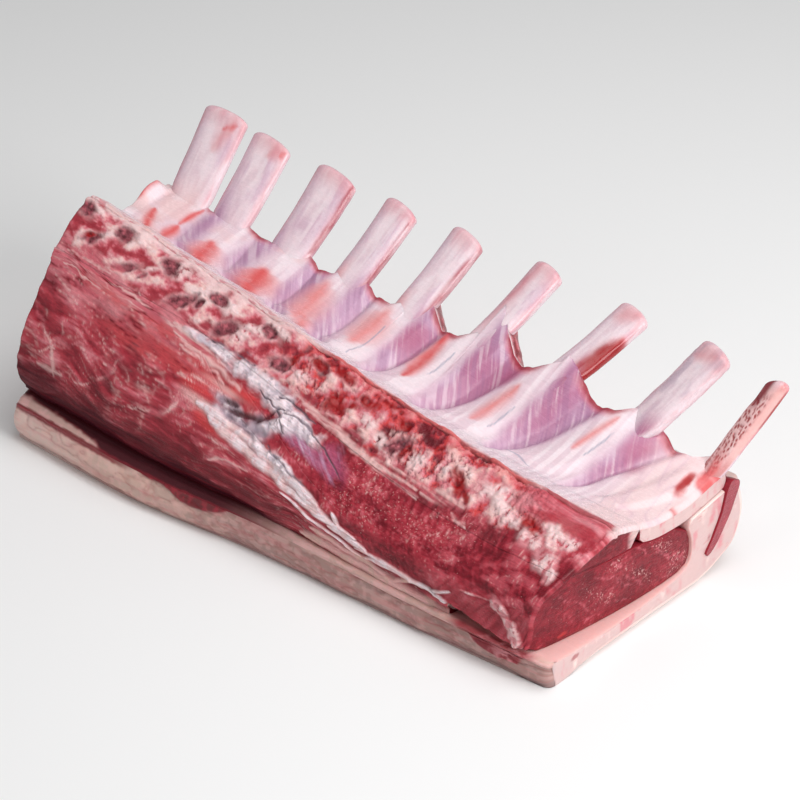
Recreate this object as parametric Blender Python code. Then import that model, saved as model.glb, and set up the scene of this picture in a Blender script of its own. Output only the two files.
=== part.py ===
"""Raw rack of lamb: nine frenched ribs on one loin, lying on its fat side.

Sizes below are millimetres. x runs along the chine from the shoulder end (0) to the
loin end, y from the chine side out to the rib tips, z up from the flat fat side.
The finished part is in metres, with its origin at the middle of the flat resting face.

Each cross section is a set of shared boundary curves. Neighbouring pieces are lofted
from the same curves, each pulled in by half the gap, so that they never touch.
"""

import math

import bmesh
import bpy
import numpy as np
from mathutils import Vector
from mathutils.geometry import tessellate_polygon

MM = 0.001
COLLECTION_NAME = "rack_of_lamb"

# ---- driving dimensions -----------------------------------------------------------
CHINE_LENGTH = 260.0
KEY_SPACING = CHINE_LENGTH / 4      # the key sections stand at 0, 65, 130, 195 and 260
GAP = 0.36                          # clearance between neighbouring pieces
SHOULDER_END = -3.0
REST_CENTRE = Vector((130.0, 42.0, 0.0))
LOIN_SET_BACK = 8.0                 # the eye's loin face lies behind the fat at the chine side
SET_BACK_REACH = 77.0               # and meets it again this far out
SHOULDER_SLANT = 0.22               # the shoulder cut runs outwards with rib 1
SLANT_REACH = 43.0                  # the slant stops growing at the frenched edge
REST_BAND = 0.7                     # fat lower than this lies flat on the ground plane
SHARPEST_MITRE = 0.35               # limits how far a sharp corner is pulled in
STATION_STEP = 13.0                 # spacing of the lofted sections
END_RING = 3.0                      # one more section this close to each end
END_ROUNDING = 1.3                  # how far each end section is drawn in
THIN_ROUNDING = 0.1                 # the same for ends too thin to round

# Chine-side face of the meat, from the groove over the fat up to the chine edge.
FACE_KEYS = (
    ((-6, 19), (-7.5, 31), (-3.5, 44), (5.5, 58), (15, 71), (25, 82), (36, 89)),
    ((-6, 16), (-6.5, 26), (-3, 36), (5, 47), (16, 57), (29, 66), (41, 73)),
    ((-4, 15), (-4, 23), (-1, 30), (6, 37), (15, 43), (28, 51), (42, 60)),
    ((-2, 12), (-2, 20), (0, 26), (6, 30), (15, 34), (28, 41), (42, 49)),
    ((0, 11), (-0.5, 18), (0.5, 25), (4, 31), (14, 35), (28, 39.5), (42, 44)),
)

# Inner side under the membrane, from the chine edge through the trough to the frenched edge.
INNER_KEYS = (
    ((36, 89), (43, 82), (51, 74), (60, 71.5), (70, 71), (80.5, 70)),
    ((41, 73), (46, 68.5), (53, 62), (62, 58), (73, 58.5), (85, 62)),
    ((42, 60), (46, 56), (53, 50.5), (63, 47.5), (76, 49.5), (89, 55.5)),
    ((42, 49), (46, 46), (53, 42), (63, 40.5), (77, 44.5), (93, 52.5)),
    ((42, 44), (46, 42), (53, 39.5), (63, 37.5), (78, 38), (97, 40.5)),
)

# Skin side of the fat, from the ledge under the groove round the bottom to the outer top.
SKIN_KEYS = (
    ((-10.5, 15), (-13, 8), (-10.5, 1.5), (-6, 0), (34, 0),
     (72, 0), (90, 5), (101, 17), (103, 36), (95, 53)),
    ((-11, 13), (-14.5, 7), (-12, 1.2), (-7, 0), (34, 0),
     (74, 0), (91, 4), (102, 14), (105, 30), (98, 45)),
    ((-6.3, 12.5), (-8, 7), (-6.5, 1.2), (-1, 0), (37, 0),
     (78, 0), (93, 3.5), (103, 11), (107, 24), (101, 39)),
    ((-3.8, 9.5), (-5.5, 5.5), (-4, 1.2), (1, 0), (38, 0),
     (80, 0), (95, 3), (106, 10), (110, 23), (105, 37)),
    ((-0.4, 8.6), (-0.8, 5), (0.2, 1), (4, 0), (40, 0),
     (83, 0), (98, 3), (109, 9.5), (113, 22), (109, 36)),
)

# Line between meat and fat, from the groove under the meat and up its outer side.
# Its last point lies under the rib plate and is found from the plate.
MEAT_BOTTOM_KEYS = (
    ((-6, 19), (10, 14), (38, 12.5), (64, 15), (79, 27), (81, 44)),
    ((-6, 16), (10, 12.5), (36, 11.5), (62, 13), (77, 22), (80, 35)),
    ((-4, 15), (10, 12), (34, 11), (60, 12), (76, 18), (78, 28)),
    ((-2, 12), (10, 10.5), (34, 10), (60, 10.5), (77, 14), (80, 23)),
    ((0, 11), (12, 9.5), (34, 8.5), (58, 9), (77, 12), (80, 21)),
)

# Values along the chine, at the key sections.
PLATE_THICKNESS = (9.5, 9.0, 8.5, 7.5, 6.5)
CHINE_DEPTH = (9.0, 9.0, 8.0, 6.5, 4.5)
CHINE_SAG = 0.25                                  # share of that depth the underside sags
BONE_EDGE = (0.69, 0.745, 0.745, 0.70, 0.68)      # where the chine bone starts on the face
SEAM_ON_BOTTOM = (0.36, 0.32, 0.25, 0.14, 0.03)   # where the seam meets the meat's bottom

# The fat seam climbs the chine-side face from the loin end until it reaches the bone.
SEAM_X = (0, 75, 97, 119, 139, 162, 183, 211, 240)
SEAM_ON_FACE = (0.64, 0.69, 0.57, 0.49, 0.40, 0.31, 0.18, 0.09, 0.03)
SEAM_WIDTH = (0.03, 0.035, 0.11, 0.11, 0.08, 0.06, 0.05, 0.04, 0.03)
SEAM_BOTTOM_WIDTH = 0.03  # its width along the meat's bottom
SEAM_BOW = 0.12           # how far it bows on its way down, as a share of its height

CHINE_INNER = 0.40        # share of the inner curve that belongs to the chine, up to y = 53
PLATE_OUTER = 0.78        # share where the eye ends and fat lies under the plate
PLATE_DROP = 0.7          # the membrane lies this far below the rib backs' guide surface
PLATE_EDGE = 0.8          # how far the plate's outer edge is rounded out
PLATE_SET_BACK = 1.0      # the plate stops this far short of both ends
# How far the plate climbs along the loin side of each rib, as a share of the inner curve.
SCALLOP_REACH = (0.10, 0.10, 0.11, 0.13, 0.22, 0.27, 0.13, 0.08, 0.08)
SCALLOP_LOW = 0.08        # how far it climbs along the shoulder side
SCALLOP_SPAN = 0.75       # the climb ends this far across the gap between two ribs
SCALLOP_HOLLOW = 1.3      # above 1 hollows the edge between the ribs
SCALLOP_SHARES = (0, 0.22, 0.38, 0.58, 0.82)   # where its sections stand between two ribs

# Lengths of the meat pieces along the chine.
SEAM_END = 215.0
BONE_END = 221.0
STRIP_END = 254.0
EYE_END = CHINE_LENGTH - 1

# The nine ribs: root x at the chine, x at the frenched edge, then the tip.
#        root   edge   tip x   tip y  tip z  width
RIBS = (
    (8.0, 11.0, 5.5, 113.5, 95.5, 18.5),
    (35.5, 30.0, 26.0, 115.5, 90.0, 17.0),
    (60.0, 56.5, 54.5, 118.5, 85.0, 18.0),
    (85.0, 84.5, 84.5, 121.5, 80.5, 17.0),
    (110.0, 114.0, 115.5, 125.5, 77.0, 17.0),
    (138.0, 147.0, 153.0, 129.5, 74.5, 15.0),
    (169.0, 183.0, 192.5, 132.5, 69.5, 16.0),
    (202.0, 221.5, 234.5, 127.5, 71.5, 17.0),
    (239.0, 254.0, 263.5, 124.5, 71.0, 11.0),
)
RIB_THICKNESS = 6.5
RIB_PROUD = 1.8           # how far a rib's back stands above the guide surface
RIB_UNDER = (0.51, 0.65, 0.82, 0.98)    # shares of the inner curve that the root follows
RIB_SAG = 1.2             # how far the free part hangs below a straight line
RIB_SHARES = (0, 0.13, 0.27, 0.41, 0.55, 0.69, 0.83, 0.95, 1)   # where its sections stand
RIB_SIDES = 10
RIB_SQUARENESS = (0.7, 0.85)            # below 1 is squarer than an ellipse: across, upwards
RIB_NECK = 0.94           # share of the width halfway along the rib
RIB_FLARE = 0.10          # added to that share towards both ends
TIP_ROUNDING = 0.72       # share of the section left at the tip's end face
TANGENT_STEP = 0.02

# The thin cap muscle inside the fat: centre line of its sheet at each key section, and the
# share of that line where it begins. Under the shoulder it reaches the chine side; towards
# the loin only its outer strip is left.
CAP_KEYS = (
    ((-12, 10.6), (20, 8.0), (60, 8.0), (86, 13), (95, 28), (93, 45)),
    ((-13, 9.4), (20, 6.5), (60, 6.5), (86, 11), (97, 25), (95, 39)),
    ((-6, 7.5), (20, 6.0), (60, 6.2), (86, 9), (99, 22), (97, 35)),
    ((-4, 6.0), (20, 5.5), (60, 6.0), (86, 10), (100.5, 22), (100, 33)),
    ((-4, 5.5), (20, 5.0), (60, 5.5), (86, 11), (97.5, 23), (102, 33)),
)
CAP_THICKNESS = (3.0, 3.2, 3.0, 4.0, 5.0)
CAP_START_X = (0, 100, 125, 190, 260)
CAP_START = (0, 0, 0.5, 0.55, 0.62)
CAP_SHEET_END = 100.0     # the sheet shows along the chine side as far as this
CAP_SET_BACK = 0.5        # the muscle stops this far short of both ends
CAP_EDGE = 0.55           # share of the thickness left at its long edges
CAP_POINTS = 8
SKIN_CLEARANCE = 3.0      # how far a pocket's cutter stands out of the surface it opens


# ---- curves -------------------------------------------------------------------------
def spline(keys, at):
    """Catmull-Rom value of evenly spaced keys at a position counted in keys.

    Past the last key it goes straight on.
    """
    keys = np.asarray(keys, dtype=float)
    beyond = at - (len(keys) - 1)
    if beyond > 0:
        return keys[-1] + beyond * (keys[-1] - keys[-2])
    low = int(min(max(math.floor(at), 0), len(keys) - 2))
    t = at - low
    before = keys[low - 1] if low > 0 else 2 * keys[low] - keys[low + 1]
    after = keys[low + 2] if low + 2 < len(keys) else 2 * keys[low + 1] - keys[low]
    slope_in = (keys[low + 1] - before) / 2
    slope_out = (after - keys[low]) / 2
    return ((2 * t**3 - 3 * t**2 + 1) * keys[low] + (t**3 - 2 * t**2 + t) * slope_in
            + (3 * t**2 - 2 * t**3) * keys[low + 1] + (t**3 - t**2) * slope_out)


def along(keys, x):
    """Value of a table of key sections at a place along the chine."""
    return spline(keys, x / KEY_SPACING)


def at_share(keys, share):
    """Point of a key curve at a share of its keys (0 to 1, or just beyond)."""
    return spline(keys, share * (len(keys) - 1))


def curve(keys, start, end, count):
    """Points of a key curve between two shares."""
    return [at_share(keys, share) for share in np.linspace(start, end, count)]


def bowed(start, end, bow, count):
    """Points of a shallow arc from start to end, pushed sideways by bow."""
    start, end, bow = (np.asarray(p, dtype=float) for p in (start, end, bow))
    return [start + (end - start) * t + bow * 4 * t * (1 - t) for t in np.linspace(0, 1, count)]


class Section:
    """All shared boundary curves of the cross section at one place x."""

    def __init__(self, x):
        self.face = along(FACE_KEYS, x)
        self.inner = along(INNER_KEYS, x)
        self.skin = along(SKIN_KEYS, x)
        self.thickness = float(along(PLATE_THICKNESS, x))
        bone = float(along(BONE_EDGE, x))
        seam_low = float(np.interp(x, SEAM_X, SEAM_ON_FACE))
        seam_high = seam_low + float(np.interp(x, SEAM_X, SEAM_WIDTH))
        bottom_low = float(along(SEAM_ON_BOTTOM, x))
        bottom_high = bottom_low + SEAM_BOTTOM_WIDTH
        self.meat_bottom = np.vstack([along(MEAT_BOTTOM_KEYS, x), self.under(PLATE_OUTER)])

        self.face_shoulder = curve(self.face, 0, seam_low, 5)
        self.face_seam = curve(self.face, seam_low, seam_high, 2)
        self.face_eye = curve(self.face, seam_high, bone, 4)
        self.face_bone = curve(self.face, bone, 1, 5)
        self.inner_bone = curve(self.inner, 0, CHINE_INNER, 4)
        self.bottom_shoulder = curve(self.meat_bottom, 0, bottom_low, 4)
        self.bottom_seam = curve(self.meat_bottom, bottom_low, bottom_high, 2)
        self.bottom_eye = curve(self.meat_bottom, bottom_high, 1, 8)
        self.under_eye = [self.under(s) for s in np.linspace(CHINE_INNER, PLATE_OUTER, 4)]
        self.under_fat = [self.under(s) for s in np.linspace(PLATE_OUTER, 1, 3)]
        sag = float(along(CHINE_DEPTH, x)) * CHINE_SAG
        self.under_bone = bowed(self.face_bone[0], self.under_eye[0], (0, -sag), 4)
        bow = (self.bottom_seam[0] - self.face_seam[0])[1] * SEAM_BOW
        self.seam_low = bowed(self.face_seam[0], self.bottom_seam[0], (bow, bow), 5)
        self.seam_high = bowed(self.face_seam[1], self.bottom_seam[1], (bow, bow), 5)

    def under(self, share):
        """Point of the plate's underside below a share of the inner curve."""
        return at_share(self.inner, share) - np.array((0, self.thickness))


# ---- outlines of the pieces, each counter-clockwise when seen from the loin end ---------
def joined(*runs):
    """One closed outline from runs of points whose ends meet."""
    points = []
    for run in runs:
        for point in run:
            if not points or np.linalg.norm(point - points[-1]) > 1e-6:
                points.append(np.asarray(point, dtype=float))
    if np.linalg.norm(points[0] - points[-1]) < 1e-6:
        points.pop()
    return np.array(points)


def fat_outline(cut):
    """Slab under the meat, turned up along the outer side."""
    skin = curve(cut.skin, 0, 1, 15)
    return joined(skin, cut.under_fat[::-1], cut.bottom_eye[::-1], cut.bottom_seam[::-1],
                  cut.bottom_shoulder[::-1])


def shoulder_outline(cut):
    """Shoulder muscle on the chine side."""
    return joined(cut.bottom_shoulder, cut.seam_low[::-1], cut.face_shoulder[::-1])


def seam_outline(cut):
    """White seam between the shoulder muscle and the eye."""
    return joined(cut.bottom_seam, cut.seam_high[::-1], cut.face_seam[::-1], cut.seam_low)


def eye_outline(cut):
    """Eye of the loin, under the chine bone and the rib plate."""
    return joined(cut.bottom_eye, cut.under_eye[::-1], cut.under_bone[::-1],
                  cut.face_eye[::-1], cut.seam_high)


def chine_outline(cut):
    """Strip of the chine along the top edge."""
    return joined(cut.under_bone, cut.inner_bone[::-1], cut.face_bone[::-1])


def plate_outline(cut, reach):
    """Meat between the ribs, from the chine out to the scalloped edge."""
    drop = np.array((0, -PLATE_DROP))
    shares = np.linspace(PLATE_OUTER, 1 + reach, 3)
    top = curve(cut.inner, CHINE_INNER, PLATE_OUTER, 4) + curve(cut.inner, shares[1], shares[2], 2)
    under = cut.under_eye + [cut.under(share) for share in shares[1:]]
    edge = (top[-1] + under[-1]) / 2 + np.array((PLATE_EDGE, 0))
    return joined(under, [edge], [point + drop for point in top[::-1]])


def pulled_in(outline, distance):
    """Outline moved inwards by a distance, with the mitre of sharp corners limited."""
    after = np.roll(outline, -1, axis=0) - outline
    after /= np.linalg.norm(after, axis=1)[:, None]
    before = np.roll(after, 1, axis=0)
    inward = np.stack([-after[:, 1] - before[:, 1], after[:, 0] + before[:, 0]], axis=1)
    length = np.linalg.norm(inward, axis=1)
    inward /= np.maximum(length, 1e-6)[:, None]
    mitre = np.maximum(length / 2, SHARPEST_MITRE)
    return outline + inward * (distance / mitre)[:, None]


# ---- meshes ------------------------------------------------------------------------------
def place(x, y, z):
    """Point of the part in metres, with the slanted shoulder cut applied."""
    outwards = min(max(y - REST_CENTRE.y, 0), SLANT_REACH)
    slant = SHOULDER_SLANT * outwards * max(1 - x / KEY_SPACING, 0)
    return (Vector((x - slant, y, z)) - REST_CENTRE) * MM


def add_object(name, mesh, material, collection):
    """Object with its material, in a collection."""
    obj = bpy.data.objects.new(name, mesh)
    mesh.materials.append(material)
    collection.objects.link(obj)
    return obj


def flat_triangles(ring):
    """Triangles over a closed ring, found in the main plane that faces it best."""
    centre = sum(ring, Vector()) / len(ring)
    spokes = [point - centre for point in ring]
    area = sum((a.cross(b) for a, b in zip(spokes, spokes[1:] + spokes[:1])), Vector())
    facing = max(range(3), key=lambda axis: abs(area[axis]))
    across = [axis for axis in range(3) if axis != facing]
    flat = [Vector((point[across[0]], point[across[1]], 0)) for point in ring]
    return tessellate_polygon([flat])


def loft(name, rings):
    """Closed mesh through rings of points, with flat ends."""
    mesh = bpy.data.meshes.new(name)
    bm = bmesh.new()
    loops = [[bm.verts.new(point) for point in ring] for ring in rings]
    for low, high in zip(loops, loops[1:]):
        for i in range(len(low)):
            j = (i + 1) % len(low)
            bm.faces.new((low[i], low[j], high[j], high[i]))
    bmesh.ops.triangulate(bm, faces=bm.faces[:], quad_method="SHORT_EDGE")
    for loop, ring in ((loops[0], rings[0]), (loops[-1], rings[-1])):
        for triangle in flat_triangles(ring):
            bm.faces.new([loop[i] for i in triangle])
    bmesh.ops.recalc_face_normals(bm, faces=bm.faces[:])
    bm.to_mesh(mesh)
    bm.free()
    return mesh


def stations(start, end):
    """Places along the chine on one common spacing, closer together at both ends."""
    first, last = start + END_RING, end - END_RING
    inner = [x for x in np.arange(0, CHINE_LENGTH, STATION_STEP) if first + 1 < x < last - 1]
    return [start, first, *inner, last, end]


def lofted_piece(name, outline_of, start, end, set_back=0.0, rounding=(END_ROUNDING, END_ROUNDING)):
    """Piece lofted along the chine; its end sections are drawn in by their rounding."""
    rings = []
    for x in stations(start, end):
        drawn_in = GAP / 2 + {start: rounding[0], end: rounding[1]}.get(x, 0)
        points = pulled_in(outline_of(Section(x)), drawn_in)
        points[points[:, 1] < REST_BAND, 1] = 0
        back = set_back if x == end else 0
        rings.append([place(x - back * max(1 - y / SET_BACK_REACH, 0), y, z) for y, z in points])
    return loft(name, rings)


def scallop(number, across):
    """Climb of the plate beyond the frenched edge, from one rib (0) across to the next (1)."""
    loin_side = SCALLOP_REACH[number] * max(1 - across / SCALLOP_SPAN, 0) ** SCALLOP_HOLLOW
    shoulder_side = SCALLOP_LOW * max((across - SCALLOP_SPAN) / (1 - SCALLOP_SPAN), 0)
    return loin_side + shoulder_side


def plate_mesh():
    """Rib plate with a scalloped outer edge that climbs along the loin side of each rib."""
    edges = [rib[1] for rib in RIBS]
    climbs = [(SHOULDER_END + PLATE_SET_BACK, SCALLOP_LOW), (edges[0] / 2, SCALLOP_LOW)]
    for number, (low, high) in enumerate(zip(edges, edges[1:])):
        climbs += [(low + (high - low) * share, scallop(number, share)) for share in SCALLOP_SHARES]
    climbs += [(edges[-1], SCALLOP_REACH[-1]), (CHINE_LENGTH - PLATE_SET_BACK, 0)]
    rings = []
    for x, reach in climbs:
        points = pulled_in(plate_outline(Section(x), reach), GAP / 2)
        rings.append([place(x, y, z) for y, z in points])
    return loft("rib_plate", rings)


def rib_path(rib):
    """Centre line of a rib: under the membrane to the frenched edge, then out to the tip."""
    root_x, edge_x, *tip = rib[:5]
    depth = RIB_PROUD - RIB_THICKNESS / 2
    points = []
    for share in RIB_UNDER:
        x = float(np.interp(share, (RIB_UNDER[0], RIB_UNDER[-1]), (root_x, edge_x)))
        y, z = at_share(along(INNER_KEYS, x), share)
        points.append((x, y, z + depth))
    middle = (np.array(points[-1]) + tip) / 2 - (0, 0, RIB_SAG)
    return np.array([*points, middle, tip])


def rib_corners():
    """Corners of a rib's section: an ellipse of unit half sizes with squarer shoulders."""
    corners = []
    for number in range(RIB_SIDES):
        angle = 2 * math.pi * (number + 0.5) / RIB_SIDES
        across, up = math.cos(angle), math.sin(angle)
        corners.append((math.copysign(abs(across) ** RIB_SQUARENESS[0], across),
                        math.copysign(abs(up) ** RIB_SQUARENESS[1], up)))
    return corners


def rib_frame(path, t):
    """Forward, side and back directions of a rib at a share of its path."""
    ahead = at_share(path, min(t + TANGENT_STEP, 1)) - at_share(path, min(t, 1 - TANGENT_STEP))
    forward = Vector(ahead).normalized()
    back = forward.cross(Vector((0, 0, 1))).cross(forward).normalized()
    side = forward.cross(back).normalized()
    return forward, side, back


def rib_mesh(name, rib, swell=0.0):
    """Flat bar with rounded edges carried along the rib's path; swell makes it a cutter."""
    path = rib_path(rib)
    rings = []
    for t in RIB_SHARES:
        forward, side, back = rib_frame(path, t)
        flare = RIB_NECK + RIB_FLARE * (2 * t - 1) ** 2
        rounding = TIP_ROUNDING if t == 1 else 1.0
        half_width = rib[5] / 2 * flare * rounding + swell
        half_height = RIB_THICKNESS / 2 * rounding + swell
        reach = swell * (1 if t == 1 else -1 if t == 0 else 0)
        centre = Vector(at_share(path, t)) + forward * reach
        rings.append([place(*(centre + side * (across * half_width) + back * (up * half_height)))
                      for across, up in rib_corners()])
    return loft(name, rings)


def cap_outline(x, swell):
    """Thin sheet of cap muscle, with narrower rounded edges; swell widens it all round."""
    keys = along(CAP_KEYS, x)
    half = float(along(CAP_THICKNESS, x)) / 2
    centre = curve(keys, float(np.interp(x, CAP_START_X, CAP_START)), 1, CAP_POINTS)
    last = CAP_POINTS - 1
    lower, upper = [], []
    for i, point in enumerate(centre):
        forward = centre[min(i + 1, last)] - centre[max(i - 1, 0)]
        forward /= np.linalg.norm(forward)
        normal = np.array((-forward[1], forward[0]))
        at_edge = i == last or (i == 0 and x > CAP_SHEET_END)
        width = half * (CAP_EDGE if at_edge else 1) + swell
        reach = forward * swell * (1 if i == last else -1 if i == 0 else 0)
        if swell and i == 0 and x <= CAP_SHEET_END:
            reach = forward * -SKIN_CLEARANCE
        lower.append(point + reach - normal * width)
        upper.append(point + reach + normal * width)
    return np.array(lower + upper[::-1])


def cap_mesh(name, swell=0.0):
    """Cap muscle along the whole length; swell makes the cutter for its pocket in the fat."""
    set_back = CAP_SET_BACK - (SKIN_CLEARANCE if swell else 0)
    rings = []
    for x in stations(SHOULDER_END + set_back, CHINE_LENGTH - set_back):
        inside = min(max(x, SHOULDER_END), CHINE_LENGTH)
        rings.append([place(x, y, z) for y, z in cap_outline(inside, swell)])
    return loft(name, rings)


# ---- finishes and assembly -------------------------------------------------------------------
def finish(name, colour, roughness):
    """Principled material of one kind of tissue."""
    material = bpy.data.materials.new(name)
    material.use_nodes = True
    shader = material.node_tree.nodes["Principled BSDF"]
    shader.inputs["Base Color"].default_value = (*colour, 1)
    shader.inputs["Roughness"].default_value = roughness
    shader.inputs["Metallic"].default_value = 0
    return material


def carve(obj, cutter):
    """Cut one object by another with an exact Boolean."""
    modifier = obj.modifiers.new(f"pocket_{cutter.name}", "BOOLEAN")
    modifier.operation = "DIFFERENCE"
    modifier.object = cutter
    modifier.solver = "EXACT"


def clear_scene():
    """Remove every object of the open file."""
    for obj in list(bpy.data.objects):
        bpy.data.objects.remove(obj, do_unlink=True)


def new_collection(name):
    """Collection linked to the scene."""
    collection = bpy.data.collections.new(name)
    bpy.context.scene.collection.children.link(collection)
    return collection


def add_cutter(name, mesh, material, collection):
    """Hidden object that only cuts others."""
    cutter = add_object(name, mesh, material, collection)
    cutter.hide_render = True
    cutter.display_type = "WIRE"
    return cutter


def main():
    """Build every piece of the rack."""
    clear_scene()
    pieces = new_collection(COLLECTION_NAME)
    cutters = new_collection("cutters")
    lean = finish("lean_meat", (0.36, 0.05, 0.06), 0.38)
    dark_lean = finish("dark_lean_meat", (0.25, 0.03, 0.04), 0.36)
    fat = finish("fat", (0.82, 0.62, 0.55), 0.45)
    membrane = finish("membrane", (0.68, 0.45, 0.50), 0.30)
    bone = finish("rib_bone", (0.80, 0.66, 0.66), 0.35)
    marrow = finish("sawn_chine_bone", (0.62, 0.28, 0.28), 0.50)

    slab = lofted_piece("fat_cap", fat_outline, SHOULDER_END, CHINE_LENGTH)
    fat_cap = add_object("fat_cap", slab, fat, pieces)
    shoulder = lofted_piece("shoulder_muscle", shoulder_outline, SHOULDER_END, SEAM_END,
                            rounding=(END_ROUNDING, THIN_ROUNDING))
    add_object("shoulder_muscle", shoulder, lean, pieces)
    seam = lofted_piece("seam_fat", seam_outline, SHOULDER_END, SEAM_END,
                        rounding=(THIN_ROUNDING, THIN_ROUNDING))
    add_object("seam_fat", seam, fat, pieces)
    eye = lofted_piece("loin_eye", eye_outline, SHOULDER_END, EYE_END, LOIN_SET_BACK,
                       rounding=(THIN_ROUNDING, END_ROUNDING))
    add_object("loin_eye", eye, dark_lean, pieces)
    chine = lofted_piece("chine_bone", chine_outline, SHOULDER_END, BONE_END)
    add_object("chine_bone", chine, marrow, pieces)
    strip = lofted_piece("chine_strip_muscle", chine_outline, BONE_END + GAP, STRIP_END)
    add_object("chine_strip_muscle", strip, lean, pieces)
    plate = add_object("rib_plate", plate_mesh(), membrane, pieces)
    add_object("cap_muscle", cap_mesh("cap_muscle"), dark_lean, pieces)

    carve(fat_cap, add_cutter("cap_pocket", cap_mesh("cap_pocket", GAP), fat, cutters))
    for number, rib in enumerate(RIBS, start=1):
        name = f"rib_{number}"
        add_object(name, rib_mesh(name, rib), bone, pieces)
        cutter = add_cutter(f"{name}_pocket", rib_mesh(f"{name}_pocket", rib, GAP), bone, cutters)
        carve(plate, cutter)


if __name__ == "__main__":
    main()
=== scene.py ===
"""Raw rack of lamb: the looks over its CAD frame.

Sizes are rack millimetres: x along the chine from the shoulder end, y outwards from the
chine side, z up from the flat fat side. Every surface is a grid of points found from the
boundary curves that the solids are lofted from. Each point is pushed out by a relief and
painted from fields that neighbouring pieces share, so that colours run on across joints.
"""

import logging
import math
from collections.abc import Callable
from dataclasses import dataclass
from enum import Enum

import bpy
import numpy as np
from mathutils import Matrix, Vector


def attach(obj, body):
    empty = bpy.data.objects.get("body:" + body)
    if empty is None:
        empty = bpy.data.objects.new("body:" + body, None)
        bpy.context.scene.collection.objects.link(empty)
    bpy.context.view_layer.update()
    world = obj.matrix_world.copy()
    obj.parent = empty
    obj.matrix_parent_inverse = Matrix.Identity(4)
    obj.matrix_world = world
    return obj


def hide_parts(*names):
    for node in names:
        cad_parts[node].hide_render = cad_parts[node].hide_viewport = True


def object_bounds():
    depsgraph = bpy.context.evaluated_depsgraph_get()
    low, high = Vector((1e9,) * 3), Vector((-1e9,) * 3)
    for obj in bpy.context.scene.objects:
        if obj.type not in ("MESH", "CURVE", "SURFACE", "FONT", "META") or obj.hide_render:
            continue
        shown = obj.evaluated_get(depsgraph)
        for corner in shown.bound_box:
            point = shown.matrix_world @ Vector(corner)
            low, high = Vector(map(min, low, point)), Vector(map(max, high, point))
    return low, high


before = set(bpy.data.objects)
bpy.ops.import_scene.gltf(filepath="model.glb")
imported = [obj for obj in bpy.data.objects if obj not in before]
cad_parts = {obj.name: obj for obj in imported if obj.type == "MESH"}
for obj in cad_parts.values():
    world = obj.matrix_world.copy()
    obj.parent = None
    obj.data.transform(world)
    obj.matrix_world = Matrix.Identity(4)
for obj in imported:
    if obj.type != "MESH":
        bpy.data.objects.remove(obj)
CAD_BOX = [list(corner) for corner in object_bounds()]

Array = np.ndarray
log = logging.getLogger("rack")

MM = 0.001
ROOT_BODY = "root"
KEY_SPACING = 65.0
CHINE_LENGTH = 260.0
SHOULDER_END = -3.0
REST_CENTRE = np.array((130.0, 42.0, 0.0))
# The loin cut lies back towards the chine side, over a short stretch of the chine.
LOIN_SET_BACK = 8.0
SET_BACK_REACH = 77.0
SET_BACK_LENGTH = 24
# The shoulder cut slants back with the distance outwards.
SHOULDER_SLANT = 0.22
SLANT_REACH = 43.0

# Key sections, one row for every KEY_SPACING of the chine: y and z of the points of each curve.
FACE_KEYS = np.array((
    ((-6, 19), (-7.5, 31), (-3.5, 44), (5.5, 58), (15, 71), (25, 82), (36, 89)),
    ((-6, 16), (-6.5, 26), (-3, 36), (5, 47), (16, 57), (29, 66), (41, 73)),
    ((-4, 15), (-4, 23), (-1, 30), (6, 37), (15, 43), (28, 51), (42, 60)),
    ((-2, 12), (-2, 20), (0, 26), (6, 30), (15, 34), (28, 41), (42, 49)),
    ((0, 11), (-0.5, 18), (0.5, 25), (4, 31), (14, 35), (28, 39.5), (42, 44)),
), dtype=float)
INNER_KEYS = np.array((
    ((36, 89), (43, 82), (51, 74), (60, 71.5), (70, 71), (80.5, 70)),
    ((41, 73), (46, 68.5), (53, 62), (62, 58), (73, 58.5), (85, 62)),
    ((42, 60), (46, 56), (53, 50.5), (63, 47.5), (76, 49.5), (89, 55.5)),
    ((42, 49), (46, 46), (53, 42), (63, 40.5), (77, 44.5), (93, 52.5)),
    ((42, 44), (46, 42), (53, 39.5), (63, 37.5), (78, 38), (97, 40.5)),
), dtype=float)
SKIN_KEYS = np.array((
    ((-10.5, 15), (-13, 8), (-10.5, 1.5), (-6, 0), (34, 0),
     (72, 0), (90, 5), (101, 17), (103, 36), (95, 53)),
    ((-11, 13), (-14.5, 7), (-12, 1.2), (-7, 0), (34, 0),
     (74, 0), (91, 4), (102, 14), (105, 30), (98, 45)),
    ((-6.3, 12.5), (-8, 7), (-6.5, 1.2), (-1, 0), (37, 0),
     (78, 0), (93, 3.5), (103, 11), (107, 24), (101, 39)),
    ((-3.8, 9.5), (-5.5, 5.5), (-4, 1.2), (1, 0), (38, 0),
     (80, 0), (95, 3), (106, 10), (110, 23), (105, 37)),
    ((-0.4, 8.6), (-0.8, 5), (0.2, 1), (4, 0), (40, 0),
     (83, 0), (98, 3), (109, 9.5), (113, 22), (109, 36)),
), dtype=float)
MEAT_BOTTOM_KEYS = np.array((
    ((-6, 19), (10, 14), (38, 12.5), (64, 15), (79, 27), (81, 44)),
    ((-6, 16), (10, 12.5), (36, 11.5), (62, 13), (77, 22), (80, 35)),
    ((-4, 15), (10, 12), (34, 11), (60, 12), (76, 18), (78, 28)),
    ((-2, 12), (10, 10.5), (34, 10), (60, 10.5), (77, 14), (80, 23)),
    ((0, 11), (12, 9.5), (34, 8.5), (58, 9), (77, 12), (80, 21)),
), dtype=float)
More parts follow.
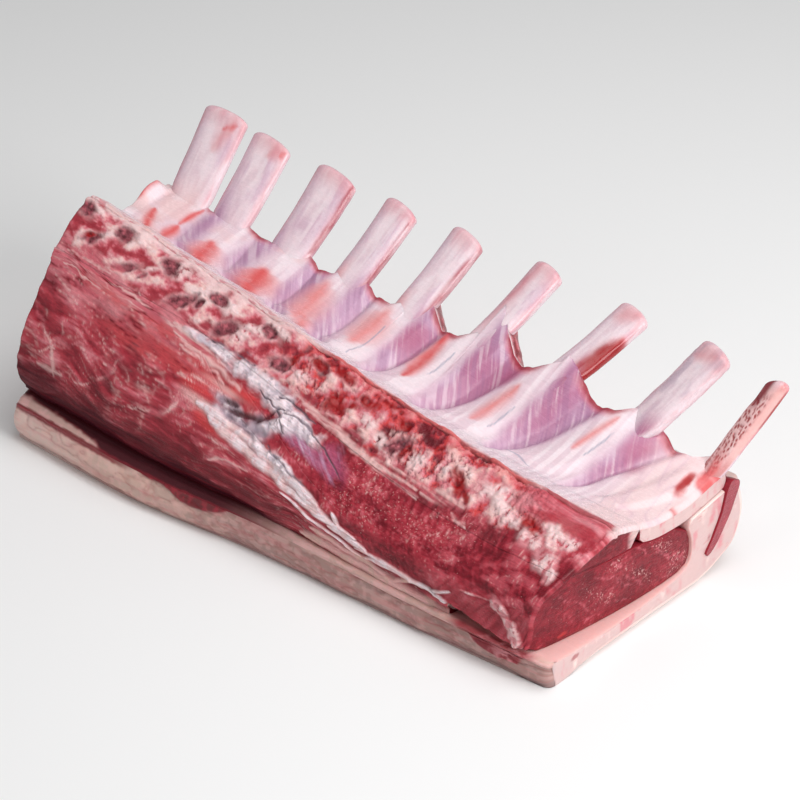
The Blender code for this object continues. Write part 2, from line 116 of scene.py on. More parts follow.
CAP_KEYS = np.array((
    ((-12, 10.6), (20, 8.0), (60, 8.0), (86, 13), (95, 28), (93, 45)),
    ((-13, 9.4), (20, 6.5), (60, 6.5), (86, 11), (97, 25), (95, 39)),
    ((-6, 7.5), (20, 6.0), (60, 6.2), (86, 9), (99, 22), (97, 35)),
    ((-4, 6.0), (20, 5.5), (60, 6.0), (86, 10), (100.5, 22), (100, 33)),
    ((-4, 5.5), (20, 5.0), (60, 5.5), (86, 11), (97.5, 23), (102, 33)),
), dtype=float)

# One value for every key section.
PLATE_THICKNESS = np.array((9.5, 9.0, 8.5, 7.5, 6.5))
CHINE_SAG = np.array((9.0, 9.0, 8.0, 6.5, 4.5)) * 0.25
BONE_EDGE = np.array((0.69, 0.745, 0.745, 0.70, 0.68))
SEAM_ON_BOTTOM = np.array((0.36, 0.32, 0.25, 0.14, 0.03))
CAP_THICKNESS = np.array((3.0, 3.2, 3.0, 4.0, 5.0))
# The seam on the chine side and the start of the cap muscle, at places along the chine.
SEAM_BOTTOM_WIDTH = 0.03
SEAM_BOW = 0.12
SEAM_X = (0, 75, 97, 119, 139, 162, 183, 211, 240)
SEAM_ON_FACE = (0.64, 0.69, 0.57, 0.49, 0.40, 0.31, 0.18, 0.09, 0.03)
SEAM_WIDTH = (0.03, 0.035, 0.11, 0.11, 0.08, 0.06, 0.05, 0.04, 0.03)
CAP_START_X = (0, 100, 125, 190, 260)
CAP_START = (0, 0, 0.5, 0.55, 0.62)
CHINE_INNER = 0.40
PLATE_OUTER = 0.78
SEAM_END = 215.0
BONE_END = 221.0

# Root x, edge x, tip x, tip y, tip z and width of each rib.
RIBS = (
    (8.0, 11.0, 5.5, 113.5, 95.5, 18.5),
    (35.5, 30.0, 26.0, 115.5, 90.0, 17.0),
    (60.0, 56.5, 54.5, 118.5, 85.0, 18.0),
    (85.0, 84.5, 84.5, 121.5, 80.5, 17.0),
    (110.0, 114.0, 115.5, 125.5, 77.0, 17.0),
    (138.0, 147.0, 153.0, 129.5, 74.5, 15.0),
    (169.0, 183.0, 192.5, 132.5, 69.5, 16.0),
    (202.0, 221.5, 234.5, 127.5, 71.5, 17.0),
    (239.0, 254.0, 263.5, 124.5, 71.0, 11.0),
)
RIB_THICKNESS = 6.5
RIB_PROUD = 1.8
RIB_SAG = 1.2
RIB_UNDER = (0.51, 0.65, 0.82, 0.98)
SCALLOP_REACH = (0.10, 0.10, 0.11, 0.13, 0.22, 0.27, 0.13, 0.08, 0.08)
SCALLOP_LOW = 0.08
SCALLOP_SPAN = 0.75
# Rise of the membrane beside the first rib.
STUB_X = -1.6
STUB_HALF = 5.6
STUB_RISE = 5.0


# ---- colours -----------------------------------------------------------------------------
class Tint(Enum):
    """Colours of the tissues in plain white light, as red, green and blue from 0 to 255."""

    LEAN_DEEP = (104, 14, 28)
    LEAN_DARK = (132, 28, 42)
    LEAN = (158, 42, 56)
    LEAN_BRIGHT = (176, 58, 70)
    LEAN_PINK = (206, 104, 116)
    LEAN_WARM = (196, 72, 76)
    ROSE = (220, 146, 152)
    MAROON = (66, 6, 22)
    BLOOD = (156, 4, 10)
    MARROW = (122, 24, 46)
    FAT = (244, 218, 212)
    FAT_PINK = (236, 186, 182)
    FAT_DULL = (206, 172, 158)
    FAT_GREY = (168, 132, 126)
    FAT_CUT = (218, 186, 184)
    CREAM = (232, 186, 176)
    WEB = (236, 196, 192)
    BONE = (238, 206, 206)
    RIB = (236, 216, 222)
    RIB_SHADE = (216, 184, 196)
    MEMBRANE = (240, 222, 228)
    LILAC = (190, 146, 176)
    PURPLE = (158, 108, 144)
    MAGENTA = (176, 92, 128)
    SALMON = (228, 116, 110)
    RED = (214, 66, 66)
    SILVER = (188, 172, 184)
    GREY = (122, 104, 116)
    VEIN = (150, 150, 172)

    @property
    def linear(self) -> Array:
        """Colour as three linear values from 0 to 1."""
        share = np.array(self.value) / 255
        return np.where(share > 0.04045, ((share + 0.055) / 1.055) ** 2.4, share / 12.92)


def joined(*values: Array | float) -> Array:
    """Values side by side on a last axis; a plain number stands for a whole grid of it."""
    return np.stack(np.broadcast_arrays(*values), axis=-1)


def step(low: float, high: float, value: Array) -> Array:
    """Smooth step from 0 at low to 1 at high.

    Args:
        low: Value where the step starts; above high, the step falls instead.
        high: Value where it ends.
        value: Where to read it.

    Returns:
        t * t * (3 - 2 * t) of the clamped share t between low and high.
    """
    share = np.clip((value - low) / (high - low), 0, 1)
    return share * share * (3 - 2 * share)


@dataclass
class Coat:
    """Paint of a surface, one value per point."""

    colour: Array
    rough: Array
    relief: Array
    fleck: Array

    @classmethod
    def plain(cls, shape: tuple[int, ...], tint: Tint, rough: float = 0.4) -> "Coat":
        """Even coat of one tint."""
        return cls(np.broadcast_to(tint.linear, (*shape, 3)).copy(), np.full(shape, rough),
                   np.zeros(shape), np.zeros(shape))

    def lay(self, tint: Tint, mask: Array, rough: float | None = None, relief: float = 0) -> None:
        """Lay a tint over the coat.

        Args:
            tint: Colour of the layer.
            mask: Cover from 0 to 1.
            rough: Roughness of the layer, or None to keep what is there.
            relief: Height in millimetres added where the cover is full.
        """
        mask = np.clip(mask, 0, 1)
        self.colour += (tint.linear - self.colour) * mask[..., None]
        if rough is not None:
            self.rough += (rough - self.rough) * mask
        self.relief += relief * mask
        self.fleck *= 1 - mask

    def ramp(self, value: Array, stops: tuple) -> None:
        """Recolour by a value.

        Args:
            value: One number per point.
            stops: Values in rising order, each with its tint; tints are blended between them.
        """
        at = [stop for stop, _ in stops]
        table = np.array([tint.linear for _, tint in stops])
        self.colour = np.stack([np.interp(value, at, table[:, i]) for i in range(3)], axis=-1)

    def blend(self, other: "Coat", mask: Array) -> None:
        """Fade into another coat where the mask is 1.

        Args:
            other: Coat to fade into.
            mask: Cover from 0 to 1.
        """
        self.colour += (other.colour - self.colour) * mask[..., None]
        self.rough += (other.rough - self.rough) * mask
        self.relief += (other.relief - self.relief) * mask
        self.fleck += (other.fleck - self.fleck) * mask


# ---- noise -------------------------------------------------------------------------------
class Noise:
    """Repeatable smooth noise over space, from one cube of random numbers."""

    SIZE = 64

    def __init__(self, seed: int) -> None:
        """Fill the cube from a seed."""
        self.cube = np.random.default_rng(seed).random((self.SIZE,) * 3)

    def value(self, points: Array) -> Array:
        """Value noise from 0 to 1: corner numbers blended by the smooth step of each coordinate.

        Args:
            points: Places to look up, three coordinates each.

        Returns:
            One number for every place.
        """
        base = np.floor(points).astype(int)
        share = points - base
        share = share * share * (3 - 2 * share)
        total = np.zeros(points.shape[:-1])
        for corner in np.ndindex(2, 2, 2):
            index = (base + corner) % self.SIZE
            weight = np.where(corner, share, 1 - share).prod(axis=-1)
            total += weight * self.cube[index[..., 0], index[..., 1], index[..., 2]]
        return total

    def fractal(self, points: Array, octaves: int = 4, gain: float = 0.55) -> Array:
        """Mean of octaves of value noise, each twice as fine and gain times as strong.

        Args:
            points: Places to look up, three coordinates each.
            octaves: Number of layers.
            gain: Strength of each layer against the last.

        Returns:
            One number for every place, from 0 to 1.
        """
        total, weight, whole = 0.0, 1.0, 0.0
        for octave in range(octaves):
            total = total + weight * self.value(points * 2.0**octave + 17.3 * octave)
            whole += weight
            weight *= gain
        return total / whole

    def ridges(self, points: Array, octaves: int = 3, sharp: float = 4.0) -> Array:
        """Thin crests: one minus the distance of the noise from its middle, to a power."""
        return (1 - np.abs(2 * self.fractal(points, octaves) - 1)) ** sharp

    def cells(self, points: Array) -> tuple[Array, Array]:
        """Cellular noise in the plane.

        Args:
            points: Places, whose first two coordinates are used.

        Returns:
            Distance to the nearest cell centre, and how much farther the second nearest is.
        """
        base = np.floor(points[..., :2]).astype(int)
        nearest = np.full(points.shape[:-1], 9.0)
        second = nearest.copy()
        for i in (-1, 0, 1):
            for j in (-1, 0, 1):
                cell = base + (i, j)
                key = cell % self.SIZE
                centre = cell + self.cube[key[..., 0], key[..., 1], :2]
                distance = np.linalg.norm(points[..., :2] - centre, axis=-1)
                second = np.minimum(second, np.maximum(nearest, distance))
                nearest = np.minimum(nearest, distance)
        return nearest, second - nearest


NOISE = Noise(7)


# ---- curves ------------------------------------------------------------------------------
def hermite(before: Array, low: Array, high: Array, after: Array, share: Array) -> Array:
    """Catmull-Rom value between low and high at a share, from the four keys around it.

    Args:
        before: Value at the key before low.
        low: Value at share 0.
        high: Value at share 1.
        after: Value at the key after high.
        share: Share of the way from low to high.

    Returns:
        Value at the share.
    """
    slope_in, slope_out = (high - before) / 2, (after - low) / 2
    square, cube = share**2, share**3
    return ((2 * cube - 3 * square + 1) * low + (cube - 2 * square + share) * slope_in
            + (3 * square - 2 * cube) * high + (cube - square) * slope_out)


def along(keys: Array, x: Array) -> Array:
    """Table of key sections read at places along the chine.

    Args:
        keys: One row per key section.
        x: Places, of any shape.

    Returns:
        Rows blended by Catmull-Rom, of the shape of x and then of a row.
    """
    at = np.asarray(x, dtype=float) / KEY_SPACING
    padded = np.concatenate([2 * keys[:1] - keys[1:2], keys, 2 * keys[-1:] - keys[-2:-1]])
    low = np.clip(np.floor(at).astype(int), 0, len(keys) - 2)
    share = (at - low).reshape(at.shape + (1,) * (keys.ndim - 1))
    return hermite(*(padded[low + i] for i in range(4)), share)


def at_share(rows: Array, share: Array) -> Array:
    """Points of curves at shares of their keys, going straight on past the last key.

    Args:
        rows: Key points, of any shape and then (keys, dimensions).
        share: One share per curve, of the same leading shape.

    Returns:
        Points by Catmull-Rom.
    """
    count = rows.shape[-2]
    at = share * (count - 1)
    beyond = np.maximum(at - (count - 1), 0)[..., None]
    at = np.minimum(at, count - 1)
    first = 2 * rows[..., :1, :] - rows[..., 1:2, :]
    last = 2 * rows[..., -1:, :] - rows[..., -2:-1, :]
    padded = np.concatenate([first, rows, last], axis=-2)
    low = np.clip(np.floor(at).astype(int), 0, count - 2)
    keys = (np.take_along_axis(padded, (low + i)[..., None, None], axis=-2)[..., 0, :]
            for i in range(4))
    return hermite(*keys, (at - low)[..., None]) + beyond * (rows[..., -1, :] - rows[..., -2, :])


def bowed(start: Array, end: Array, bow: Array, share: Array) -> Array:
    """Shallow arc from start to end, pushed sideways by bow * 4 t (1 - t)."""
    return start + (end - start) * share[..., None] + bow * (4 * share * (1 - share))[..., None]


class RackShape:
    """Boundary curves of the rack's cross sections. Each method takes x and share grids."""

    def face(self, x: Array, share: Array) -> Array:
        """Chine-side face, from the groove (0) to the chine edge (1)."""
        return at_share(along(FACE_KEYS, x), share)

    def inner(self, x: Array, share: Array) -> Array:
        """Inner side, from the chine edge (0) to the frenched edge (1)."""
        return at_share(along(INNER_KEYS, x), share)

    def skin(self, x: Array, share: Array) -> Array:
        """Outside of the fat, from the ledge (0) round the bottom to the outer top (1).

        Args:
            x: Places along the chine in millimetres.
            share: Share of the curve, from 0 to 1.

        Returns:
            Points of the outside, y and z.
        """
        points = at_share(along(SKIN_KEYS, x), share)
        points[..., 1] = np.where(points[..., 1] < 0.7, 0, points[..., 1])
        return points

    def under(self, x: Array, share: Array) -> Array:
        """Underside of the chine and the rib plate.

        Args:
            x: Places along the chine in millimetres.
            share: Share of the curve, from 0 to 1.

        Returns:
            Points of the surface, y and z.
        """
        points = self.inner(x, share)
        points[..., 1] -= along(PLATE_THICKNESS, x)
        return points

    def meat_bottom(self, x: Array, share: Array) -> Array:
        """Line between the meat and the fat."""
        last = self.under(x, np.full_like(x, PLATE_OUTER))[..., None, :]
        return at_share(np.concatenate([along(MEAT_BOTTOM_KEYS, x), last], axis=-2), share)

    def seam_low(self, x: Array, share: Array) -> Array:
        """Shoulder side of the seam, from the face down to the meat's bottom."""
        return self._seam(x, share, seam_low(x), along(SEAM_ON_BOTTOM, x))

    def seam_high(self, x: Array, share: Array) -> Array:
        """Eye side of the seam, from the face down to the meat's bottom."""
        return self._seam(x, share, seam_high(x), along(SEAM_ON_BOTTOM, x) + SEAM_BOTTOM_WIDTH)

    def _seam(self, x: Array, share: Array, on_face: Array, on_bottom: Array) -> Array:
        """Bowed line between shares of the face and of the bottom.

        Args:
            x: Places along the chine in millimetres.
            share: Share of the way across, from the face to the bottom.
            on_face: Share of the face where it starts.
            on_bottom: Share of the bottom where it ends.

        Returns:
            Points of the surface, y and z.
        """
        start, end = self.face(x, on_face), self.meat_bottom(x, on_bottom)
        low_start = self.face(x, seam_low(x))
        low_end = self.meat_bottom(x, along(SEAM_ON_BOTTOM, x))
        bow = (low_end - low_start)[..., 1:] * SEAM_BOW
        return bowed(start, end, np.repeat(bow, 2, axis=-1), share)

    def under_bone(self, x: Array, share: Array) -> Array:
        """Underside of the chine bone, from the face to the rib plate.

        Args:
            x: Places along the chine in millimetres.
            share: Share of the curve, from 0 to 1.

        Returns:
            Points of the surface, y and z.
        """
        start = self.face(x, along(BONE_EDGE, x))
        end = self.under(x, np.full_like(x, CHINE_INNER))
        sag = joined(0, -along(CHINE_SAG, x))
        return bowed(start, end, sag, share)

    def face_length(self, x: Array) -> Array:
        """Length of the face curve in millimetres."""
        points = self.face(*np.broadcast_arrays(x[..., None], np.linspace(0, 1, 13)))
        return np.linalg.norm(np.diff(points, axis=-2), axis=-1).sum(axis=-1)


def seam_low(x: Array) -> Array:
    """Share of the face where the seam starts."""
    return np.interp(x, SEAM_X, SEAM_ON_FACE)


def seam_high(x: Array) -> Array:
    """Share of the face where the seam ends."""
    return seam_low(x) + np.interp(x, SEAM_X, SEAM_WIDTH)


SHAPE = RackShape()


def place(x: Array, section: Array) -> Array:
    """Rack points of section points, with the slanted shoulder cut applied.

    Args:
        x: Place along the chine of each point.
        section: The y and z of each point.

    Returns:
        Points in rack millimetres.
    """
    outwards = np.clip(section[..., 0] - REST_CENTRE[1], 0, SLANT_REACH)
    slant = SHOULDER_SLANT * outwards * np.maximum(1 - x / KEY_SPACING, 0)
    return np.concatenate([(x - slant)[..., None], section], axis=-1)


# ---- features laid out on a surface ------------------------------------------------------
@dataclass(frozen=True)
class Sheet:
    """A flattened surface: places along it and across it, in millimetres.

    Args:
        x: Distance along the surface.
        w: Distance across it.
        scale: Millimetres of w for one share of the curve, per point.
    """

    x: Array
    w: Array
    scale: Array

    @property
    def plane(self) -> Array:
        """Points for noise."""
        return joined(self.x, self.w, 0)

    def spots(self, rows: tuple, soft: float = 0.35, wobble: float = 0.5,
              grain: float = 0.5) -> Array:
        """Soft-edged ovals.

        Args:
            rows: x, share, half length, half width (mm) and tilt (degrees) of each oval.
            soft: Share of the size over which the edge fades.
            wobble: How far noise pushes the edge in and out.
            grain: Fineness of that noise, in waves per millimetre.

        Returns:
            Highest cover of any oval.
        """
        push = wobble * (NOISE.fractal(self.plane * grain, 3) - 0.5) * 2
        cover = np.zeros_like(self.x)
        for x, share, length, width, tilt in rows:
            turn = math.radians(tilt)
            across, up = self.x - x, self.w - share * self.scale
            a = (across * math.cos(turn) + up * math.sin(turn)) / length
            b = (up * math.cos(turn) - across * math.sin(turn)) / width
            cover = np.maximum(cover, step(1 + soft, 1 - soft, np.hypot(a, b) + push))
        return cover

    def strokes(self, rows: tuple, soft: float = 0.6, wobble: float = 0.8, grain: float = 0.25,
                thick: float = 1.0) -> Array:
        """Soft-edged bent lines that taper to their ends.

        Args:
            rows: x and share of both ends, sideways bend (mm) and half width (mm) of each line.
            soft: Share of the width over which the edge fades.
            wobble: How far noise pushes the line sideways, in millimetres.
            grain: Fineness of that noise, in waves per millimetre.
            thick: Factor on every width.

        Returns:
            Highest cover of any line.
        """
        plane = self.plane * grain
        x = self.x + wobble * 2 * (NOISE.fractal(plane + 31, 3) - 0.5)
        w = self.w + wobble * 2 * (NOISE.fractal(plane + 57, 3) - 0.5)
        cover = np.zeros_like(self.x)
        for x0, s0, x1, s1, bend, width in rows:
            from_x, from_w = x - x0, w - s0 * self.scale
            reach_x, reach_w = x1 - x0, (s1 - s0) * self.scale
            length = np.hypot(reach_x, reach_w)
            along_it = (from_x * reach_x + from_w * reach_w) / length**2
            share = np.clip(along_it, 0, 1)
            off = (from_w * reach_x - from_x * reach_w) / length
            off = off - bend * 4 * share * (1 - share)
            past = (along_it - share) * length
            taper = 0.35 + 0.65 * np.sqrt(np.maximum(4 * share * (1 - share), 0))
            distance = np.hypot(off, past) / (width * thick * taper)
            cover = np.maximum(cover, step(1 + soft, 1 - soft, distance))
        return cover


# ---- the chine side ----------------------------------------------------------------------
# Ovals are x, share, half length, half width (mm) and tilt (degrees).
MARROW_SPOTS = (
    (0.5, 0.93, 3.6, 3.4, 0), (20.5, 0.915, 4.4, 3.0, 10), (43, 0.905, 4.6, 2.9, 0),
    (67.5, 0.91, 4.2, 2.1, 0), (93, 0.925, 3.8, 1.7, -5), (9, 0.81, 4.6, 1.9, 35),
    (28, 0.785, 5.4, 1.7, 32), (54.5, 0.80, 6.2, 2.3, 42), (76, 0.81, 5.6, 2.4, 38),
    (104, 0.845, 4.4, 2.1, 15), (104.5, 0.77, 3.8, 1.1, -8), (163, 0.85, 4.6, 2.6, 25),
    (119, 0.93, 3.6, 1.3, 0), (36, 0.80, 2.4, 1.0, 50), (62, 0.84, 2.2, 1.2, 50),
)
PALE_RIMS = (
    (5, 0.95, 4.0, 1.2, -20), (25.5, 0.94, 4.5, 1.2, -25), (48.5, 0.915, 3.4, 3.4, 30),
    (73, 0.91, 3.6, 3.0, 30), (62, 0.88, 5, 1.2, 30), (96, 0.955, 7, 1.2, -5),
    (15, 0.87, 4.0, 1.0, 35), (38, 0.85, 5.0, 1.2, 38), (84, 0.84, 3.4, 2.6, 60),
    (86, 0.89, 5, 1.6, 20), (113, 0.85, 4.0, 2.0, 20), (148, 0.86, 4.0, 1.4, 0),
    (156, 0.83, 5, 1.6, -20), (172, 0.84, 3.4, 3.2, 0), (184, 0.87, 3.0, 1.4, 0),
    (206, 0.90, 4.8, 2.0, 10), (214, 0.86, 5.0, 2.6, -10), (221, 0.815, 4, 1.6, 0),
    (237, 0.86, 6.0, 2.0, -8), (247, 0.84, 3.0, 1.6, 0), (233, 0.795, 6, 1.4, -10),
)
BLOOD_SPOTS = (
    (133, 0.845, 6.0, 2.2, 8), (116, 0.935, 4.6, 1.5, -8), (128, 0.96, 6.5, 1.3, -6),
    (139, 0.88, 2.6, 1.6, 30), (142, 0.92, 5.0, 1.3, 10), (167, 0.845, 3.0, 1.6, 40),
    (192, 0.855, 5.0, 2.0, -22), (160, 0.93, 3.0, 1.0, 0), (197, 0.825, 2.8, 1.1, -30),
    (226, 0.845, 3.6, 2.3, -10), (178, 0.93, 3.6, 1.1, 30), (8, 0.82, 2.6, 1.0, 30),
    (52, 0.735, 2.6, 0.9, 0), (108, 0.90, 2.4, 1.4, 60), (150, 0.965, 5.0, 0.8, 0),
)
WARM_SPOTS = (
    (74, 0.60, 34, 5.0, 2), (50, 0.55, 18, 3.2, 0), (30, 0.66, 14, 2.6, 0), (52, 0.66, 16, 2.4, 6),
)
SALMON_SPOTS = ((100, 0.655, 8, 1.9, 2), (84, 0.575, 9, 2.4, 6), (94, 0.435, 9, 2.0, -10))
CREAM_SPOTS = ((86, 0.50, 8, 1.5, -3), (96, 0.475, 10, 1.8, -6), (92, 0.62, 9, 1.2, 4))
SILVER_SPOTS = (
    (104, 0.52, 14, 3.0, -3), (112, 0.57, 7, 5.0, 20), (95, 0.575, 7, 2.2, 0),
    (121, 0.66, 6, 3.6, 0),
)
CRUMB_SPOTS = (
    (117, 0.72, 13, 3.0, -6), (98, 0.745, 15, 2.6, 3), (78, 0.735, 10, 1.4, 3),
    (129, 0.695, 8, 1.8, -18), (120, 0.64, 7, 2.2, 30), (127, 0.455, 11, 1.6, -10),
)
POCKET_SPOTS = (
    (105, 0.575, 8.0, 1.0, 14), (111, 0.60, 4.0, 1.2, 40), (97, 0.585, 3.5, 0.9, 10),
    (112, 0.62, 4.6, 0.6, 60),
)
LILAC_SPOTS = ((129, 0.625, 10, 3.6, -14), (146, 0.625, 8, 4.6, -30), (138, 0.60, 10, 3.0, -20))
CREASE_LINES = (
    (72, 0.745, 96, 0.77, 0.6, 0.35), (90, 0.80, 101, 0.775, 0.5, 0.3),
    (112, 0.74, 130, 0.73, 1.0, 0.35), (114, 0.69, 118, 0.63, 0.6, 0.4),
    (118, 0.69, 134, 0.685, 1.4, 0.3), (104, 0.71, 118, 0.70, -0.6, 0.3),
    (134, 0.69, 152, 0.57, 0.9, 0.3), (100, 0.80, 112, 0.80, 0.6, 0.3),
    (119, 0.50, 142, 0.41, -0.5, 0.4), (118, 0.67, 122, 0.61, -0.6, 0.3),
)

# Lines are x and share of both ends, bend (mm) and half width (mm).
WEB_LINES = (
    (0, 0.46, 14, 0.345, -0.5, 0.55), (8, 0.30, 15, 0.34, 0.4, 0.6), (12, 0.36, 22, 0.39, 0.3, 0.5),
    (13, 0.34, 17, 0.22, 0.4, 1.3), (8, 0.245, 22, 0.25, -0.4, 1.1), (28, 0.25, 36, 0.29, 0.3, 0.5),
    (34, 0.485, 47, 0.475, -0.4, 0.3), (46, 0.475, 44, 0.40, -0.6, 0.8),
    (45, 0.41, 37, 0.31, 0.5, 0.9), (20, 0.40, 44, 0.405, 0.4, 0.3),
    (62, 0.485, 76, 0.455, 0.5, 0.35), (77, 0.46, 75, 0.38, -0.6, 0.9),
    (75, 0.385, 62, 0.32, 0.6, 0.8), (62, 0.33, 56, 0.29, 0.2, 0.5),
    (86, 0.34, 95, 0.31, -0.4, 0.5), (98, 0.26, 105, 0.30, 0.4, 0.8),
    (104, 0.30, 117, 0.32, 0.5, 0.7), (88, 0.37, 110, 0.36, 0.8, 0.35),
    (28, 0.61, 38, 0.60, 0.6, 0.5), (2, 0.60, 12, 0.575, 0.3, 0.5), (4, 0.66, 30, 0.64, 0.6, 0.35),
    (30, 0.70, 62, 0.70, 0.8, 0.8), (46, 0.68, 70, 0.71, 0.4, 0.6), (30, 0.67, 52, 0.665, 0.6, 0.4),
    (0, 0.56, 22, 0.545, 0.5, 0.25), (2, 0.70, 24, 0.73, 0.5, 0.5), (20, 0.74, 40, 0.73, 0.6, 0.8),
    (222, 0.32, 226, 0.44, -0.5, 1.0), (226, 0.44, 231, 0.54, 0.4, 0.7),
    (214, 0.27, 226, 0.31, 0.5, 0.5), (216, 0.36, 219, 0.26, 0.3, 0.5),
    (137, 0.69, 152, 0.57, 0.8, 0.5), (158, 0.44, 160, 0.34, 0.3, 0.3),
    (203, 0.62, 205, 0.57, 0.2, 0.8),
)
SHRED_SPOTS = (
    (233, 0.765, 7.0, 2.4, -12), (243, 0.715, 8.0, 2.6, -22), (249, 0.68, 3.4, 1.6, -30),
)
FRAY_SPOTS = (
    (238, 0.29, 5.0, 2.2, -40), (244, 0.20, 7.0, 3.2, -42), (249, 0.10, 5.0, 3.0, -30),
    (224, 0.30, 6.0, 0.5, 10),
)
PALE_STREAKS = (
    (40, 0.645, 84, 0.60, 0.8, 0.7), (60, 0.685, 98, 0.655, 0.6, 0.8),
    (64, 0.66, 90, 0.635, 0.6, 0.5), (70, 0.56, 92, 0.60, 0.8, 0.7),
    (66, 0.54, 90, 0.575, 0.6, 0.4), (58, 0.71, 86, 0.70, 0.4, 0.9),
    (112, 0.80, 180, 0.735, -0.5, 0.7), (120, 0.785, 182, 0.715, -0.5, 0.6),
    (140, 0.80, 186, 0.755, 0.4, 0.6), (124, 0.765, 176, 0.72, 0.5, 0.6),
    (148, 0.75, 182, 0.70, -0.4, 0.5), (130, 0.80, 168, 0.785, 0.6, 0.5),
    (176, 0.765, 200, 0.775, 0.8, 1.5), (182, 0.745, 196, 0.76, 0.5, 1.4),
    (206, 0.785, 224, 0.80, 0.8, 0.8), (197, 0.735, 206, 0.70, 0.4, 0.6),
)
SEAM_LINES = (
    (84, 0.50, 118, 0.455, 0.5, 1.3), (92, 0.475, 134, 0.38, -0.8, 1.7),
    (112, 0.47, 150, 0.35, 0.6, 2.0), (124, 0.40, 160, 0.26, -0.8, 1.5),
    (140, 0.36, 172, 0.20, 0.6, 1.9), (134, 0.30, 174, 0.115, -0.6, 0.7),
    (150, 0.30, 170, 0.245, 0.5, 1.3), (158, 0.24, 176, 0.165, 0.6, 1.7),
    (158, 0.36, 162, 0.29, 0.2, 0.9), (170, 0.16, 214, 0.12, 0.4, 0.9),
    (176, 0.12, 206, 0.14, 0.5, 1.2), (206, 0.13, 215, 0.22, 0.2, 0.7),
)
LOWER_FAT_LINES = (
    (146, 0.05, 216, 0.01, 0.3, 2.8), (150, 0.13, 186, 0.075, 0.4, 1.6),
    (188, 0.04, 198, 0.14, 0.4, 1.0),
)

# Stops of the colour ramps, from the darkest height to the palest.
SHOULDER_RAMP = ((0.30, Tint.LEAN_DEEP), (0.42, Tint.LEAN_DARK), (0.50, Tint.LEAN),
                 (0.58, Tint.LEAN_BRIGHT), (0.68, Tint.LEAN_PINK), (0.82, Tint.WEB))
EYE_RAMP = ((0.33, Tint.LEAN_DEEP), (0.44, Tint.LEAN_DARK), (0.54, Tint.LEAN),
            (0.63, Tint.LEAN_BRIGHT), (0.72, Tint.LEAN_PINK), (0.82, Tint.ROSE))
SMOOTH_BONE_RAMP = ((0.34, Tint.LEAN), (0.43, Tint.LEAN_BRIGHT), (0.48, Tint.LEAN_PINK),
                    (0.54, Tint.ROSE), (0.60, Tint.FAT_PINK), (0.69, Tint.BONE))
BROKEN_BONE_RAMP = ((0.32, Tint.LEAN_DEEP), (0.38, Tint.LEAN), (0.43, Tint.RED),
                    (0.48, Tint.LEAN_PINK), (0.54, Tint.ROSE), (0.62, Tint.FAT_PINK),
                    (0.74, Tint.BONE))
# Where the bone's paint starts and how far up the dark groove (dark meat and painted shade)
# reaches, along the chine.
BONE_PAINT_X = (0, 30, 65, 100, 130, 175, 200, 250)
BONE_PAINT_EDGE = (0.765, 0.75, 0.765, 0.79, 0.81, 0.785, 0.785, 0.80)
GROOVE_X = (0, 30, 100, 145)
GROOVE_SHARE = (0.26, 0.22, 0.13, 0.02)
# Rounding of the chine edge, in millimetres.
EDGE_SPAN = 56.0
EDGE_RADIUS = 3.2
EDGE_DROP = 1.5
VERTEBRA_PITCH = 25
VERTEBRA_SWELL = 2.0
SWELL_REACH = 9.0


def edge_round(x: Array, away: Array) -> Array:
    """Rounding of the chine edge, in millimetres.

    Args:
        x: Places along the chine.
        away: Distance from the edge along the surface.

    Returns:
        Depth that falls with the square of the distance and swells over each vertebra.
    """
    wave = NOISE.fractal(joined(x / 11, 2, 0), 3) + 0.25 * np.cos(x * 2 * math.pi / VERTEBRA_PITCH)
    near = np.clip(1 - away / EDGE_RADIUS, 0, 1) ** 2
    return near * EDGE_DROP + VERTEBRA_SWELL * (0.6 - wave) * step(SWELL_REACH, 0.0, away)


